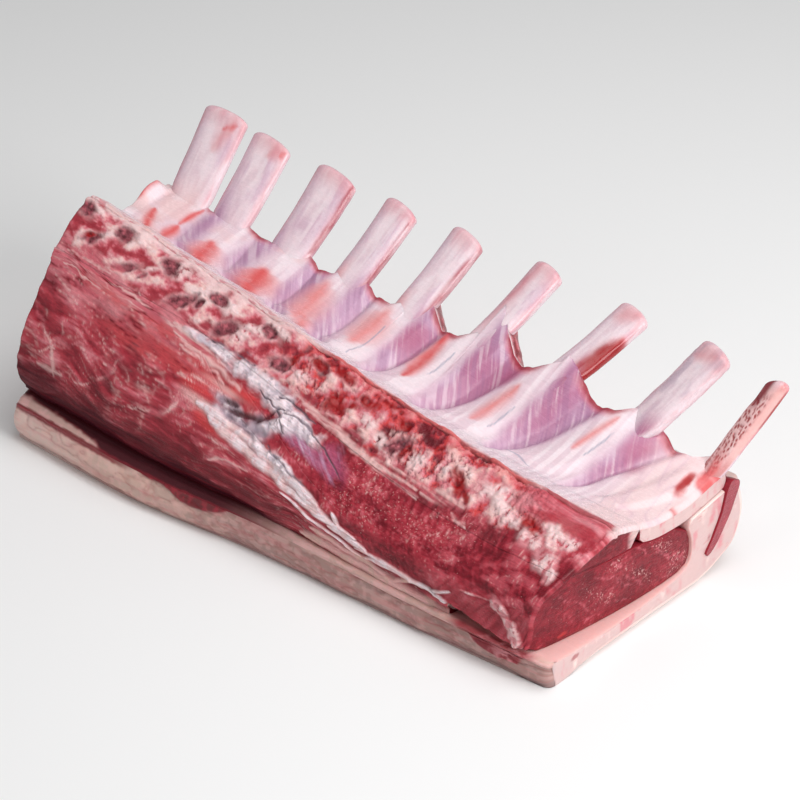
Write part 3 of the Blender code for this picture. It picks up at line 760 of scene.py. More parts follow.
class ChineFace:
    """Paint and relief of the chine side, shared by every piece that shows there."""

    def coat(self, x: Array, share: Array) -> Coat:
        """Coat of the face.

        Args:
            x: Places along the chine.
            share: Shares of the face curve, from the groove (0) to the chine edge (1).

        Returns:
            Muscle, then the seam and tendons, then the bone, one laid over the other.
        """
        scale = np.broadcast_to(SHAPE.face_length(x[:, :1]), x.shape)
        sheet = Sheet(x, share * scale, scale)
        coat = Coat.plain(x.shape, Tint.LEAN, 0.36)
        self._shoulder(coat, sheet, share)
        self._eye(coat, sheet, share)
        self._tendons(coat, sheet)
        self._bone(coat, sheet, share)
        self._groove(coat, sheet, share)
        coat.relief -= edge_round(x, (1 - share) * scale)
        return coat

    def _shoulder(self, coat: Coat, sheet: Sheet, share: Array) -> None:
        """Fibre bundles, web lines and the warm smooth area of the shoulder muscle.

        Args:
            coat: Coat to paint on.
            sheet: Coordinates of the surface.
            share: Share of the curve, from 0 to 1.
        """
        plane = sheet.plane
        bend = 7 * (NOISE.fractal(plane / 24, 2) - 0.5) * 2
        flow = sheet.w + 0.05 * sheet.x + bend
        bundle = NOISE.fractal(joined(flow / 3.6, sheet.x / 15, 0), 3, 0.6)
        fibre = NOISE.fractal(joined(flow * 1.15, sheet.x * 0.13, 5), 3, 0.75)
        patch = NOISE.fractal(plane / 10 + 5, 3)
        tone = 0.42 * bundle + 0.34 * fibre + 0.24 * patch
        coat.ramp(tone, SHOULDER_RAMP)
        upper = step(0.50, 0.66, share) * step(80, 40, sheet.x)
        coat.lay(Tint.LEAN_PINK, 0.85 * upper * step(0.32, 0.52, fibre))
        coat.lay(Tint.ROSE, 0.75 * upper * step(0.42, 0.60, bundle))
        warm = sheet.spots(WARM_SPOTS, 0.6, 0.5, 0.07)
        coat.lay(Tint.LEAN_WARM, 0.70 * warm * step(0.34, 0.54, fibre + 0.1), 0.30)
        coat.lay(Tint.RED, 0.30 * warm * step(0.50, 0.68, bundle) * step(60, 84, sheet.x))
        # Darker low on the shoulder towards the groove: deep red lean, partly painted shade.
        deep = step(0.34, 0.14, share + 0.06 * (patch - 0.5)) * step(150, 120, sheet.x)
        coat.lay(Tint.LEAN_DEEP, 0.75 * deep * step(0.66, 0.46, tone))
        threads = NOISE.ridges(joined(flow * 0.62, sheet.x * 0.10, 9), 2, 26)
        coat.lay(Tint.WEB, 0.42 * threads * step(0.44, 0.60, patch) * (1 - 0.8 * deep), 0.32, 0.08)
        arcs = NOISE.ridges(joined((sheet.x + 0.6 * bend) / 15, sheet.w / 9, 3), 2, 30)
        coat.lay(Tint.WEB, 0.40 * arcs * step(0.46, 0.60, fibre) * (1 - warm) * (1 - 0.7 * deep),
                 0.32, 0.1)
        web = sheet.strokes(WEB_LINES, 0.9, 1.6, 0.22, 0.6)
        feather = sheet.strokes(WEB_LINES, 3.2, 3.0, 0.20)
        coat.lay(Tint.LEAN_PINK, 0.70 * feather * step(0.36, 0.58, fibre))
        coat.lay(Tint.ROSE, 0.60 * feather * step(0.50, 0.66, bundle))
        coat.lay(Tint.WEB, 0.62 * web * step(0.38, 0.60, patch), 0.34, 0.12)
        coat.relief += 1.2 * (bundle - 0.5) + 0.4 * (fibre - 0.5) + 1.3 * (patch - 0.5)

    def _eye(self, coat: Coat, sheet: Sheet, share: Array) -> None:
        """Dark cut side of the eye, granular towards the bone, under a lilac membrane.

        Args:
            coat: Coat to paint on.
            sheet: Coordinates of the surface.
            share: Share of the curve, from 0 to 1.
        """
        plane = sheet.plane
        wave = NOISE.fractal(plane / 7, 3) - 0.5
        inside = step(-0.01, 0.025, share - seam_low(sheet.x) + 0.01 + 0.05 * wave)
        inside = inside * step(88, 120, sheet.x)
        mottle = NOISE.fractal(plane * (0.13, 0.2, 1), 4)
        down = NOISE.fractal(joined(sheet.x * 0.8 + sheet.w * 0.35, sheet.w * 0.12, 0), 3, 0.65)
        grain = NOISE.fractal(plane * 0.85, 2, 0.8)
        eye = Coat.plain(share.shape, Tint.LEAN, 0.32)
        eye.ramp(0.5 * mottle + 0.28 * down + 0.22 * grain, EYE_RAMP)
        eye.lay(Tint.LEAN_PINK, 0.35 * step(0.46, 0.60, mottle) * step(200, 212, sheet.x))
        # Pale specks on the granular side: flecks of fat, partly painted glints of wet light.
        granular = step(140, 158, sheet.x) * step(0.30, 0.50, share) * step(222, 204, sheet.x)
        eye.lay(Tint.LEAN_PINK, 0.35 * step(0.60, 0.74, grain) * (0.10 + 0.90 * granular))
        fleck = NOISE.ridges(joined(sheet.x * 0.5, sheet.w * 0.16, 2), 2, 40)
        eye.lay(Tint.WEB, 0.55 * fleck * step(0.5, 0.64, mottle))
        lilac = sheet.spots(LILAC_SPOTS, 0.5, 0.6, 0.12)
        sheen = NOISE.fractal(joined(sheet.x * 0.30 + sheet.w * 0.40, sheet.w * 0.08, 0), 4, 0.65)
        eye.lay(Tint.MAGENTA, 0.60 * lilac * step(0.30, 0.50, mottle), 0.25)
        eye.lay(Tint.LILAC, 0.75 * lilac * step(0.42, 0.68, sheen), 0.22)
        eye.lay(Tint.MEMBRANE, 0.35 * lilac * step(0.60, 0.74, sheen))
        lower = step(205, 216, sheet.x + 0.3 * sheet.w) * step(0.40, 0.28, share + 0.1 * wave)
        strip = NOISE.fractal(joined(sheet.x * 0.5 - sheet.w * 0.25, sheet.w * 0.05, 0), 3, 0.7)
        eye.lay(Tint.LEAN_BRIGHT, 0.7 * lower)
        eye.lay(Tint.LEAN_PINK, 0.35 * lower * step(0.56, 0.70, strip))
        eye.lay(Tint.LEAN_DARK, 0.7 * lower * step(0.47, 0.34, strip))
        eye.relief += 1.0 * wave + 0.9 * (mottle - 0.5) + 0.5 * (grain - 0.5) * (0.4 + granular)
        eye.relief += 1.6 * lower * (strip - 0.35) + 1.6 * lower * step(0.16, 0.04, share)
        # Fleck density: pale specks of fat, on the granular side partly painted glints.
        eye.fleck += (0.14 + 0.38 * granular * step(0.40, 0.56, mottle)) * (1 - lower) * (1 - lilac)
        coat.blend(eye, inside)

    def _tendons(self, coat: Coat, sheet: Sheet) -> None:
        """Silver and cream tissue at the top of the seam, the seam itself and the pale strands.

        Args:
            coat: Coat to paint on.
            sheet: Coordinates of the surface.
        """
        plane = sheet.plane
        fine = NOISE.fractal(plane * 0.7, 3, 0.65)
        lumps = NOISE.fractal(plane / 3.2 + 8, 3)
        coat.lay(Tint.WEB, 0.65 * sheet.spots(CREAM_SPOTS, 0.9, 0.6, 0.1), 0.4)
        coat.lay(Tint.RED, 0.60 * sheet.spots(SALMON_SPOTS, 0.6, 0.6, 0.1), 0.30)
        silver = sheet.spots(SILVER_SPOTS, 0.5, 0.7, 0.15)
        coat.lay(Tint.SILVER, 0.85 * silver, 0.3, 0.3)
        coat.lay(Tint.GREY, 0.65 * silver * step(0.50, 0.36, lumps), 0.3)
        coat.lay(Tint.MEMBRANE, 0.6 * silver * step(0.52, 0.64, lumps))
        seam = sheet.strokes(SEAM_LINES, 0.7, 2.0, 0.10)
        coat.lay(Tint.ROSE, 0.6 * sheet.strokes(SEAM_LINES, 1.4, 2.4, 0.10))
        coat.lay(Tint.BONE, 0.90 * seam, 0.36, 0.8)
        coat.lay(Tint.MEMBRANE, 0.80 * seam * step(0.40, 0.58, lumps), 0.34)
        coat.lay(Tint.ROSE, 0.45 * seam * step(0.42, 0.30, fine))
        low = sheet.strokes(LOWER_FAT_LINES, 0.9, 1.8, 0.12)
        coat.lay(Tint.FAT_PINK, 0.85 * low, 0.4, 0.8)
        coat.lay(Tint.FAT_DULL, 0.6 * low * step(0.50, 0.36, lumps))
        pale = sheet.strokes(PALE_STREAKS, 1.4, 1.6, 0.2, 0.9)
        strand = NOISE.fractal(joined(sheet.w * 1.3 + 0.10 * sheet.x, sheet.x * 0.07, 0), 3)
        coat.lay(Tint.LEAN_PINK, 0.5 * pale)
        coat.lay(Tint.WEB, 0.85 * pale * step(0.38, 0.62, strand), 0.36, 0.25)
        for rows in (SHRED_SPOTS, FRAY_SPOTS):
            shred = sheet.spots(rows, 0.6, 1.0, 0.18)
            coat.lay(Tint.ROSE, 0.85 * shred, 0.36, 1.0)
            coat.lay(Tint.BONE, 0.85 * shred * step(0.44, 0.58, lumps))
            coat.lay(Tint.LEAN_BRIGHT, 0.7 * shred * step(0.42, 0.30, fine))
            coat.relief += 1.8 * shred * (lumps - 0.5)
        crumb = sheet.spots(CRUMB_SPOTS, 0.5, 0.9, 0.25)
        coat.lay(Tint.MEMBRANE, 0.92 * crumb, 0.32, 0.9)
        coat.lay(Tint.SILVER, 0.7 * crumb * step(0.54, 0.40, lumps))
        coat.lay(Tint.GREY, 0.5 * crumb * step(0.40, 0.30, fine))
        coat.relief += (crumb + silver) * 2.0 * (lumps - 0.5) + seam * 0.6 * (lumps - 0.5)
        coat.lay(Tint.MAROON, 0.85 * sheet.spots(POCKET_SPOTS, 0.5, 0.8, 0.25), 0.25, -1.4)
        coat.lay(Tint.GREY, 0.85 * sheet.strokes(CREASE_LINES, 0.8, 0.9, 0.3), 0.3, -0.7)

    def _bone(self, coat: Coat, sheet: Sheet, share: Array) -> None:
        """Sawn, broken edge of the chine: pale bone, marrow, blood and shreds of red muscle.

        Args:
            coat: Coat to paint on.
            sheet: Coordinates of the surface.
            share: Share of the curve, from 0 to 1.
        """
        plane = sheet.plane
        ragged = NOISE.fractal(plane / 5, 4) - 0.5
        edge = np.interp(sheet.x, BONE_PAINT_X, BONE_PAINT_EDGE)
        inside = step(-0.02, 0.02, share - edge + 0.13 * ragged)
        raw = step(92, 116, sheet.x + 12 * ragged) * step(252, 226, sheet.x)
        lumps = NOISE.fractal(plane * (0.20, 0.30, 1) + 9, 4, 0.58)
        fine = NOISE.fractal(plane * 0.75, 3, 0.7)
        wide = NOISE.fractal(plane / 13 + 4, 2)
        height = 0.74 * lumps + 0.14 * fine + 0.12 * wide
        smooth = Coat.plain(share.shape, Tint.BONE, 0.34)
        smooth.ramp(height, SMOOTH_BONE_RAMP)
        broken = Coat.plain(share.shape, Tint.BONE, 0.28)
        broken.ramp(height, BROKEN_BONE_RAMP)
        warped = plane[..., :2] * 0.30 + 2.2 * (joined(lumps, fine) - 0.5)
        apart, gap = NOISE.cells(warped)
        crumbly = step(0.46, 0.58, NOISE.fractal(plane / 8 + 21, 3)) * raw * step(236, 222, sheet.x)
        broken.lay(Tint.WEB, 0.55 * crumbly * step(0.55, 0.25, apart) * step(0.44, 0.60, fine))
        broken.lay(Tint.MARROW, 0.65 * crumbly * step(0.12, 0.02, gap))
        broken.relief += crumbly * (0.8 * (0.5 - apart) - 0.5 * step(0.12, 0.02, gap))
        bone = smooth
        bone.blend(broken, raw)
        top = step(0.93, 0.985, share + 0.12 * ragged)
        bone.lay(Tint.BONE, 0.85 * top * (1 - raw))
        bone.lay(Tint.RED, 0.45 * top * raw * step(0.38, 0.50, height))
        bone.lay(Tint.LEAN_DARK, 0.4 * top * raw * step(0.47, 0.38, height))
        rims = sheet.spots(PALE_RIMS, 0.6, 0.7, 0.3)
        bone.lay(Tint.BONE, 0.88 * rims * step(0.30, 0.44, fine), 0.36, 0.6)
        marrow = sheet.spots(MARROW_SPOTS, 0.4, 0.5, 0.3)
        halo = sheet.spots(MARROW_SPOTS, 1.0, 0.5, 0.3)
        bone.lay(Tint.BONE, 0.85 * halo, 0.34, 0.5)
        bone.lay(Tint.MARROW, 0.92 * marrow, 0.4, -0.9)
        bone.lay(Tint.LEAN_PINK, 0.55 * marrow * step(0.56, 0.68, fine))
        bone.lay(Tint.MAROON, 0.75 * marrow * step(0.46, 0.34, fine))
        blood = sheet.spots(BLOOD_SPOTS, 0.5, 0.9, 0.3)
        bone.lay(Tint.BLOOD, 0.95 * blood, 0.16, -0.3)
        bone.lay(Tint.MAROON, 0.6 * blood * step(0.42, 0.32, fine))
        strip = step(214, 222, sheet.x + 20 * ragged) * step(0.87, 0.90, share + 0.06 * ragged)
        strip *= step(257, 253, sheet.x)
        bundle = NOISE.fractal(joined(sheet.w * 0.6, sheet.x * 0.06, 0), 3)
        bone.relief += (1 - strip) * (3.6 * (lumps - 0.5) * (0.50 + 0.50 * raw)
                                      + 0.6 * (fine - 0.5) * (0.4 + raw))
        bone.lay(Tint.LEAN_BRIGHT, 0.92 * strip, 0.3, 0.3)
        bone.lay(Tint.LEAN_PINK, 0.85 * strip * step(0.36, 0.54, bundle))
        bone.lay(Tint.ROSE, 0.6 * strip * step(0.50, 0.66, bundle))
        coat.blend(bone, inside)

    def _groove(self, coat: Coat, sheet: Sheet, share: Array) -> None:
        """Dark groove between the meat and the ledge of fat: wet dark meat, partly painted shade.

        Args:
            coat: Coat to paint on.
            sheet: Coordinates of the surface.
            share: Share of the curve, from 0 to 1.
        """
        wave = 0.10 * (NOISE.fractal(sheet.plane / 14, 3) - 0.5)
        reach = np.interp(sheet.x, GROOVE_X, GROOVE_SHARE)
        depth = step(1.0, 0.60, (share + wave) / reach) * step(146, 120, sheet.x)
        streak = NOISE.fractal(joined(sheet.w * 0.7, sheet.x * 0.05, 0), 3)
        # Maroon and deep red in the groove: wet dark meat, and painted shade under the meat's edge.
        coat.lay(Tint.MAROON, depth * (0.70 + 0.20 * step(0.6, 0.4, streak)), 0.7)
        coat.lay(Tint.MAROON, 0.9 * step(0.085, 0.03, share + wave) * step(146, 120, sheet.x), 0.7)
        coat.lay(Tint.LEAN_DEEP, 0.6 * depth * step(0.50, 0.66, streak))
        coat.relief -= 1.4 * step(0.07, 0.0, share) * step(150, 110, sheet.x)


# ---- the inner side ----------------------------------------------------------------------
# Valleys between the ribs: their left and right sides at three shares of the inner curve.
VALLEY_SHARES = (0.40, 0.70, 1.0)
VALLEYS = (
    ((24.5, 20.5, 22.5), (33.0, 29.0, 29.0)), ((49.5, 41.5, 43.5), (58.0, 51.0, 52.5)),
    ((72.5, 66.5, 66.5), (82.0, 77.0, 78.0)), ((94.5, 88.5, 89.0), (103.0, 100.0, 101.0)),
    ((122.0, 118.0, 120.5), (125.0, 129.0, 134.0)), ((147.5, 147.0, 150.0), (154.5, 162.0, 173.0)),
    ((183.5, 181.5, 186.0), (186.0, 198.0, 210.0)), ((218.0, 220.0, 224.0), (219.0, 227.5, 242.0)),
)
RED_STREAKS = (
    (19.0, 0.98, 17.5, 0.72, 0.0, 0.7), (18.0, 0.70, 19.5, 0.42, 0.0, 1.4),
    (33.5, 0.72, 39.5, 0.36, -0.5, 3.2), (57.0, 0.76, 62.5, 0.40, -0.5, 3.8),
    (135.5, 0.98, 134.5, 0.62, 0.0, 1.8), (6, 0.7, 11, 0.40, 0, 1.2),
)
ORANGE_STREAKS = (
    (80.5, 0.92, 84.0, 0.50, -0.4, 3.4), (108.5, 0.94, 107.5, 0.66, 0.0, 3.4),
    (85, 0.60, 91, 0.38, 0, 2.2), (134, 0.86, 133, 0.70, 0, 2.0), (174, 0.90, 170, 0.60, 0, 1.5),
    (215, 0.98, 209, 0.76, 0, 0.8),
)
BLUE_VEINS = (
    (112.5, 0.88, 111.5, 0.48, 0.3, 0.3), (143.5, 0.92, 141.5, 0.72, 0.3, 0.4),
    (179.5, 0.80, 177.0, 0.60, 0.3, 0.4), (218.0, 0.92, 215.0, 0.74, 0.3, 0.4),
    (190, 0.52, 204, 0.44, 0.6, 0.35), (235, 0.60, 236, 0.42, 0.5, 0.3),
)
CRIMSON_SPOTS = (
    (230, 0.93, 4.5, 3.0, 60), (168, 0.94, 5, 2.6, 30), (124, 0.88, 3.4, 4, 0),
    (234, 0.82, 3, 2.0, 40),
)
WOUND_SPOTS = (
    (252.5, 0.86, 2.0, 3.6, 20), (257.0, 0.93, 2.2, 2.6, 0), (256, 1.0, 2.4, 4.0, 0),
    (258, 0.72, 0.8, 1.2, 0),
)


COVER_THICKNESS = 0.65
VALLEY_EDGE = 3.6
VALLEY_SHOULDER = -6.0
VALLEY_DROP = 1.1


class InnerSide:
    """Paint and relief of the membrane over the ribs and of the chine's inner edge."""

    def rib_x(self, number: int, share: Array) -> Array:
        """Place of a rib's centre line at shares of the inner curve.

        Args:
            number: Index of the rib.
            share: Share of the inner curve.

        Returns:
            Place along the chine.
        """
        root, edge = RIBS[number][:2]
        way = (share - RIB_UNDER[0]) / (RIB_UNDER[-1] - RIB_UNDER[0])
        return root + (edge - root) * np.clip(way, -0.6, 1.5)

    def valley(self, x: Array, share: Array, reach: float = -2.0) -> Array:
        """How deep a point lies between two ribs.

        Args:
            x: Places along the chine.
            share: Shares of the inner curve.
            reach: Where the fall starts, in millimetres inside the valley's side.

        Returns:
            0 on the ribs, 1 in the middle of a valley.
        """
        deep = np.zeros_like(x)
        for left, right in VALLEYS:
            low, high = (np.interp(share, VALLEY_SHARES, side) for side in (left, right))
            fall = step(reach, VALLEY_EDGE, x - low) * step(reach, VALLEY_EDGE, high - x)
            deep = np.maximum(deep, fall)
        return deep

    def cover(self, x: Array, share: Array, outer: float = 1.45, inner: float = 0.45) -> Array:
        """Cover of the bones: 1 within inner half widths of a rib's middle, 0 beyond outer ones.

        Args:
            x: Places along the chine in millimetres.
            share: Share of the inner curve.
            outer: Half widths at which the cover ends.
            inner: Half widths up to which it is full.

        Returns:
            Cover from 0 to 1.
        """
        best = np.zeros_like(x)
        for number, rib in enumerate(RIBS):
            apart = np.abs(x - self.rib_x(number, share)) / (rib[5] * 0.5)
            best = np.maximum(best, step(outer, inner, apart))
        return best * step(0.46, 0.52, share)

    def reach(self, x: Array) -> Array:
        """Climb of the membrane beyond the frenched edge at places along the chine.

        Args:
            x: Places along the chine in millimetres.

        Returns:
            Climb in shares of the inner curve.
        """
        edges = np.array([rib[1] for rib in RIBS])
        number = np.clip(np.searchsorted(edges, x) - 1, 0, len(edges) - 2)
        across = np.clip((x - edges[number]) / (edges[number + 1] - edges[number]), 0, 1)
        climb = np.array(SCALLOP_REACH)[number] * np.maximum(1 - across / SCALLOP_SPAN, 0) ** 1.8
        climb = climb + SCALLOP_LOW * np.maximum((across - SCALLOP_SPAN) / (1 - SCALLOP_SPAN), 0)
        climb = np.where(x < edges[0], SCALLOP_LOW, climb)
        return np.where(x > edges[-1], SCALLOP_REACH[-1] * np.clip((259 - x) / 5, 0, 1), climb)

    def coat(self, x: Array, share: Array) -> Coat:
        """Coat of the inner side.

        Args:
            x: Places along the chine.
            share: Shares of the inner curve, from the chine edge (0) to the frenched edge (1).

        Returns:
            Pale membrane with lilac valleys partly in painted shade, red streaks and veins, and the
            chine's rim.
        """
        scale = np.full_like(x, EDGE_SPAN)
        sheet = Sheet(x, share * scale, scale)
        fine = NOISE.fractal(sheet.plane / 3, 3)
        soft = NOISE.fractal(sheet.plane / 12 + 3, 3)
        cover = self.cover(x, share)
        coat = Coat.plain(x.shape, Tint.MEMBRANE, 0.26)
        valley = self._valleys(coat, sheet, share, soft)
        self._streaks(coat, sheet, step(0.30, 0.55, fine))
        loin = step(228, 242, x)
        coat.lay(Tint.BONE, 0.75 * loin)
        self._notches(coat, x, share, cover, fine)
        lines = NOISE.ridges(joined(x * 0.22 + sheet.w * 0.06, sheet.w * 0.05, 6), 2, 12)
        coat.lay(Tint.LILAC, 0.28 * loin * lines * step(0.3, 0.5, share))
        coat.lay(Tint.FAT_PINK, 0.35 * loin * step(0.50, 0.66, soft))
        wound = sheet.spots(WOUND_SPOTS, 0.5, 0.9, 0.25)
        coat.lay(Tint.RED, 0.85 * wound, 0.2, -0.4)
        coat.lay(Tint.BLOOD, 0.75 * wound * step(0.52, 0.40, fine))
        rough = self._chine_rim(coat, x, share, fine)
        self._rise(coat, x, share, cover, valley)
        coat.relief += 0.30 * (soft - 0.5) + 0.12 * (fine - 0.5) + 1.8 * rough * (fine - 0.5)
        coat.relief -= edge_round(x, share * EDGE_SPAN)
        return coat

    def _valleys(self, coat: Coat, sheet: Sheet, share: Array, soft: Array) -> Array:
        """Lilac and magenta between the ribs, partly painted shade, with slanting fibres; returns
        the valleys' depth.

        Args:
            coat: Coat to paint on.
            sheet: Coordinates of the surface.
            share: Share of the curve, from 0 to 1.
            soft: Coarse noise from 0 to 1.

        Returns:
            Depth of the valleys, from 0 to 1.
        """
        x, plane = sheet.x, sheet.plane
        shifted = x + 1.6 * (NOISE.fractal(plane / 6 + 11, 3) - 0.5)
        below_chine = step(0.24, 0.46, share)
        valley = self.valley(shifted, share) * below_chine
        beside = self.valley(shifted, share, VALLEY_SHOULDER) * below_chine
        drawn = NOISE.fractal(joined(x * 0.45, share * 1.8, 0), 3)
        slant = NOISE.fractal(joined(x * 0.8 + sheet.w * 0.62, (sheet.w - x) * 0.045, 0), 3, 0.7)
        coat.lay(Tint.RIB_SHADE, 0.55 * step(0.42, 0.62, drawn))
        coat.lay(Tint.FAT_PINK, 0.50 * step(0.48, 0.66, soft) * step(130, 60, x))
        tint = step(0.3, 0.9, share)
        # Painted shade on the ribs' flanks beside the valleys.
        coat.lay(Tint.RIB_SHADE, 0.55 * beside)
        coat.lay(Tint.LILAC, 0.30 * beside)
        # Lilac and purple by the valleys' depth: the membrane's tint over the lean, partly painted
        # shade.
        coat.lay(Tint.LILAC, (0.55 + 0.40 * tint) * valley, 0.24)
        coat.lay(Tint.MAGENTA, 0.65 * valley * step(0.40, 0.62, soft) * step(96, 120, x) * tint)
        coat.lay(Tint.MEMBRANE, 0.38 * valley * step(0.52, 0.68, slant))
        coat.lay(Tint.PURPLE, 0.42 * valley * step(0.48, 0.34, slant))
        coat.lay(Tint.MAGENTA, 0.85 * sheet.spots(CRIMSON_SPOTS, 0.9, 0.5, 0.2))
        return valley

    def _streaks(self, coat: Coat, sheet: Sheet, ragged: Array) -> None:
        """Red and orange streaks along the ribs, and blue veins.

        Args:
            coat: Coat to paint on.
            sheet: Coordinates of the surface.
            ragged: Noise from 0 to 1 that breaks the streaks up.
        """
        both = RED_STREAKS + ORANGE_STREAKS
        coat.lay(Tint.ROSE, 0.75 * sheet.strokes(both, 3.4, 1.2, 0.08))
        coat.lay(Tint.SALMON, 0.8 * sheet.strokes(both, 2.4, 1.2, 0.08) * (0.8 + 0.2 * ragged))
        red = sheet.strokes(RED_STREAKS, 1.6, 1.2, 0.08)
        coat.lay(Tint.RED, 0.85 * red * (0.7 + 0.3 * ragged), 0.25)
        coat.lay(Tint.VEIN, 0.7 * sheet.strokes(BLUE_VEINS, 0.9, 0.5, 0.3))

    def _notches(self, coat: Coat, x: Array, share: Array, cover: Array, fine: Array) -> None:
        """Dark red rim of the membrane between the ribs.

        Args:
            coat: Coat to paint on.
            x: Places along the chine in millimetres.
            share: Share of the curve, from 0 to 1.
            cover: Cover of the bones, from 0 to 1.
            fine: Fine noise from 0 to 1.
        """
        short = 1 + self.reach(x) - share
        notch = step(0.055, 0.020, short) * step(4, 12, x) * step(246, 236, x) * (1 - cover)
        coat.lay(Tint.LEAN_PINK, 0.6 * notch)
        coat.lay(Tint.LEAN, 0.85 * notch * step(0.030, 0.010, short + 0.02 * (fine - 0.5)))

    def _chine_rim(self, coat: Coat, x: Array, share: Array, fine: Array) -> Array:
        """Bone, raw flesh and the strip of muscle along the chine; returns how rough it is.

        Args:
            coat: Coat to paint on.
            x: Places along the chine in millimetres.
            share: Share of the curve, from 0 to 1.
            fine: Fine noise from 0 to 1.

        Returns:
            Roughness of the rim, from 0 to 1.
        """
        ragged = fine - 0.5
        rim = step(0.22, 0.05, share + 0.14 * ragged)
        coat.lay(Tint.BONE, 0.85 * rim, 0.36)
        coat.lay(Tint.LEAN_PINK, 0.65 * rim * step(0.50, 0.40, fine) * step(110, 80, x))
        coat.lay(Tint.FAT_PINK, 0.5 * rim * step(0.50, 0.62, fine) * step(120, 90, x))
        raw = step(104, 124, x) * step(226, 212, x) * step(0.17, 0.03, share + 0.16 * ragged)
        coat.lay(Tint.RED, 0.85 * raw, 0.3)
        coat.lay(Tint.LEAN_DEEP, 0.6 * raw * step(0.52, 0.40, fine))
        strip = step(219, 224, x) * step(257, 254, x) * step(0.16, 0.07, share + 0.05 * ragged)
        coat.lay(Tint.LEAN_BRIGHT, 0.88 * strip, 0.3)
        return raw + 0.5 * rim

    def _rise(self, coat: Coat, x: Array, share: Array, cover: Array, valley: Array) -> None:
        """Relief: over the bones, down into the valleys, and up at the stub beside rib 1.

        Args:
            coat: Coat to paint on.
            x: Places along the chine in millimetres.
            share: Share of the curve, from 0 to 1.
            cover: Cover of the bones, from 0 to 1.
            valley: Depth of the valleys, from 0 to 1.
        """
        base = RIB_PROUD * 0.72 * step(0.06, 0.36, share)
        free = 1 - self.cover(x, share, 2.0, 1.15)
        over = base + (RIB_PROUD + COVER_THICKNESS - base) * cover
        over = over - valley * free * (base + VALLEY_DROP)
        coat.relief += over - 0.60 * cover * step(0.88, 1.0, share)
        stub = np.clip(1 - np.abs(x - STUB_X) / STUB_HALF, 0, 1) * step(0.58, 0.86, share)
        stub = stub * step(1.06, 0.92, share)
        coat.lay(Tint.RED, 0.8 * step(0.1, 0.5, stub) * step(1.0, -1.5, x))
        coat.relief += STUB_RISE * stub


# ---- the fat and the cut ends ------------------------------------------------------------
# Height down to which the muscle hangs over the ledge near the loin end.
LOIN_FLAP_X = (212, 220, 228, 238, 247, 253)
LOIN_FLAP_LOW = (14.0, 11.0, 7.0, 4.6, 5.4, 14.0)
# The same for the muscle that hangs over it near the shoulder.
HANG_X = (62, 71, 80, 90, 100, 107, 114)
HANG_LOW = (14.0, 12.4, 11.8, 9.6, 9.2, 10.4, 14.0)


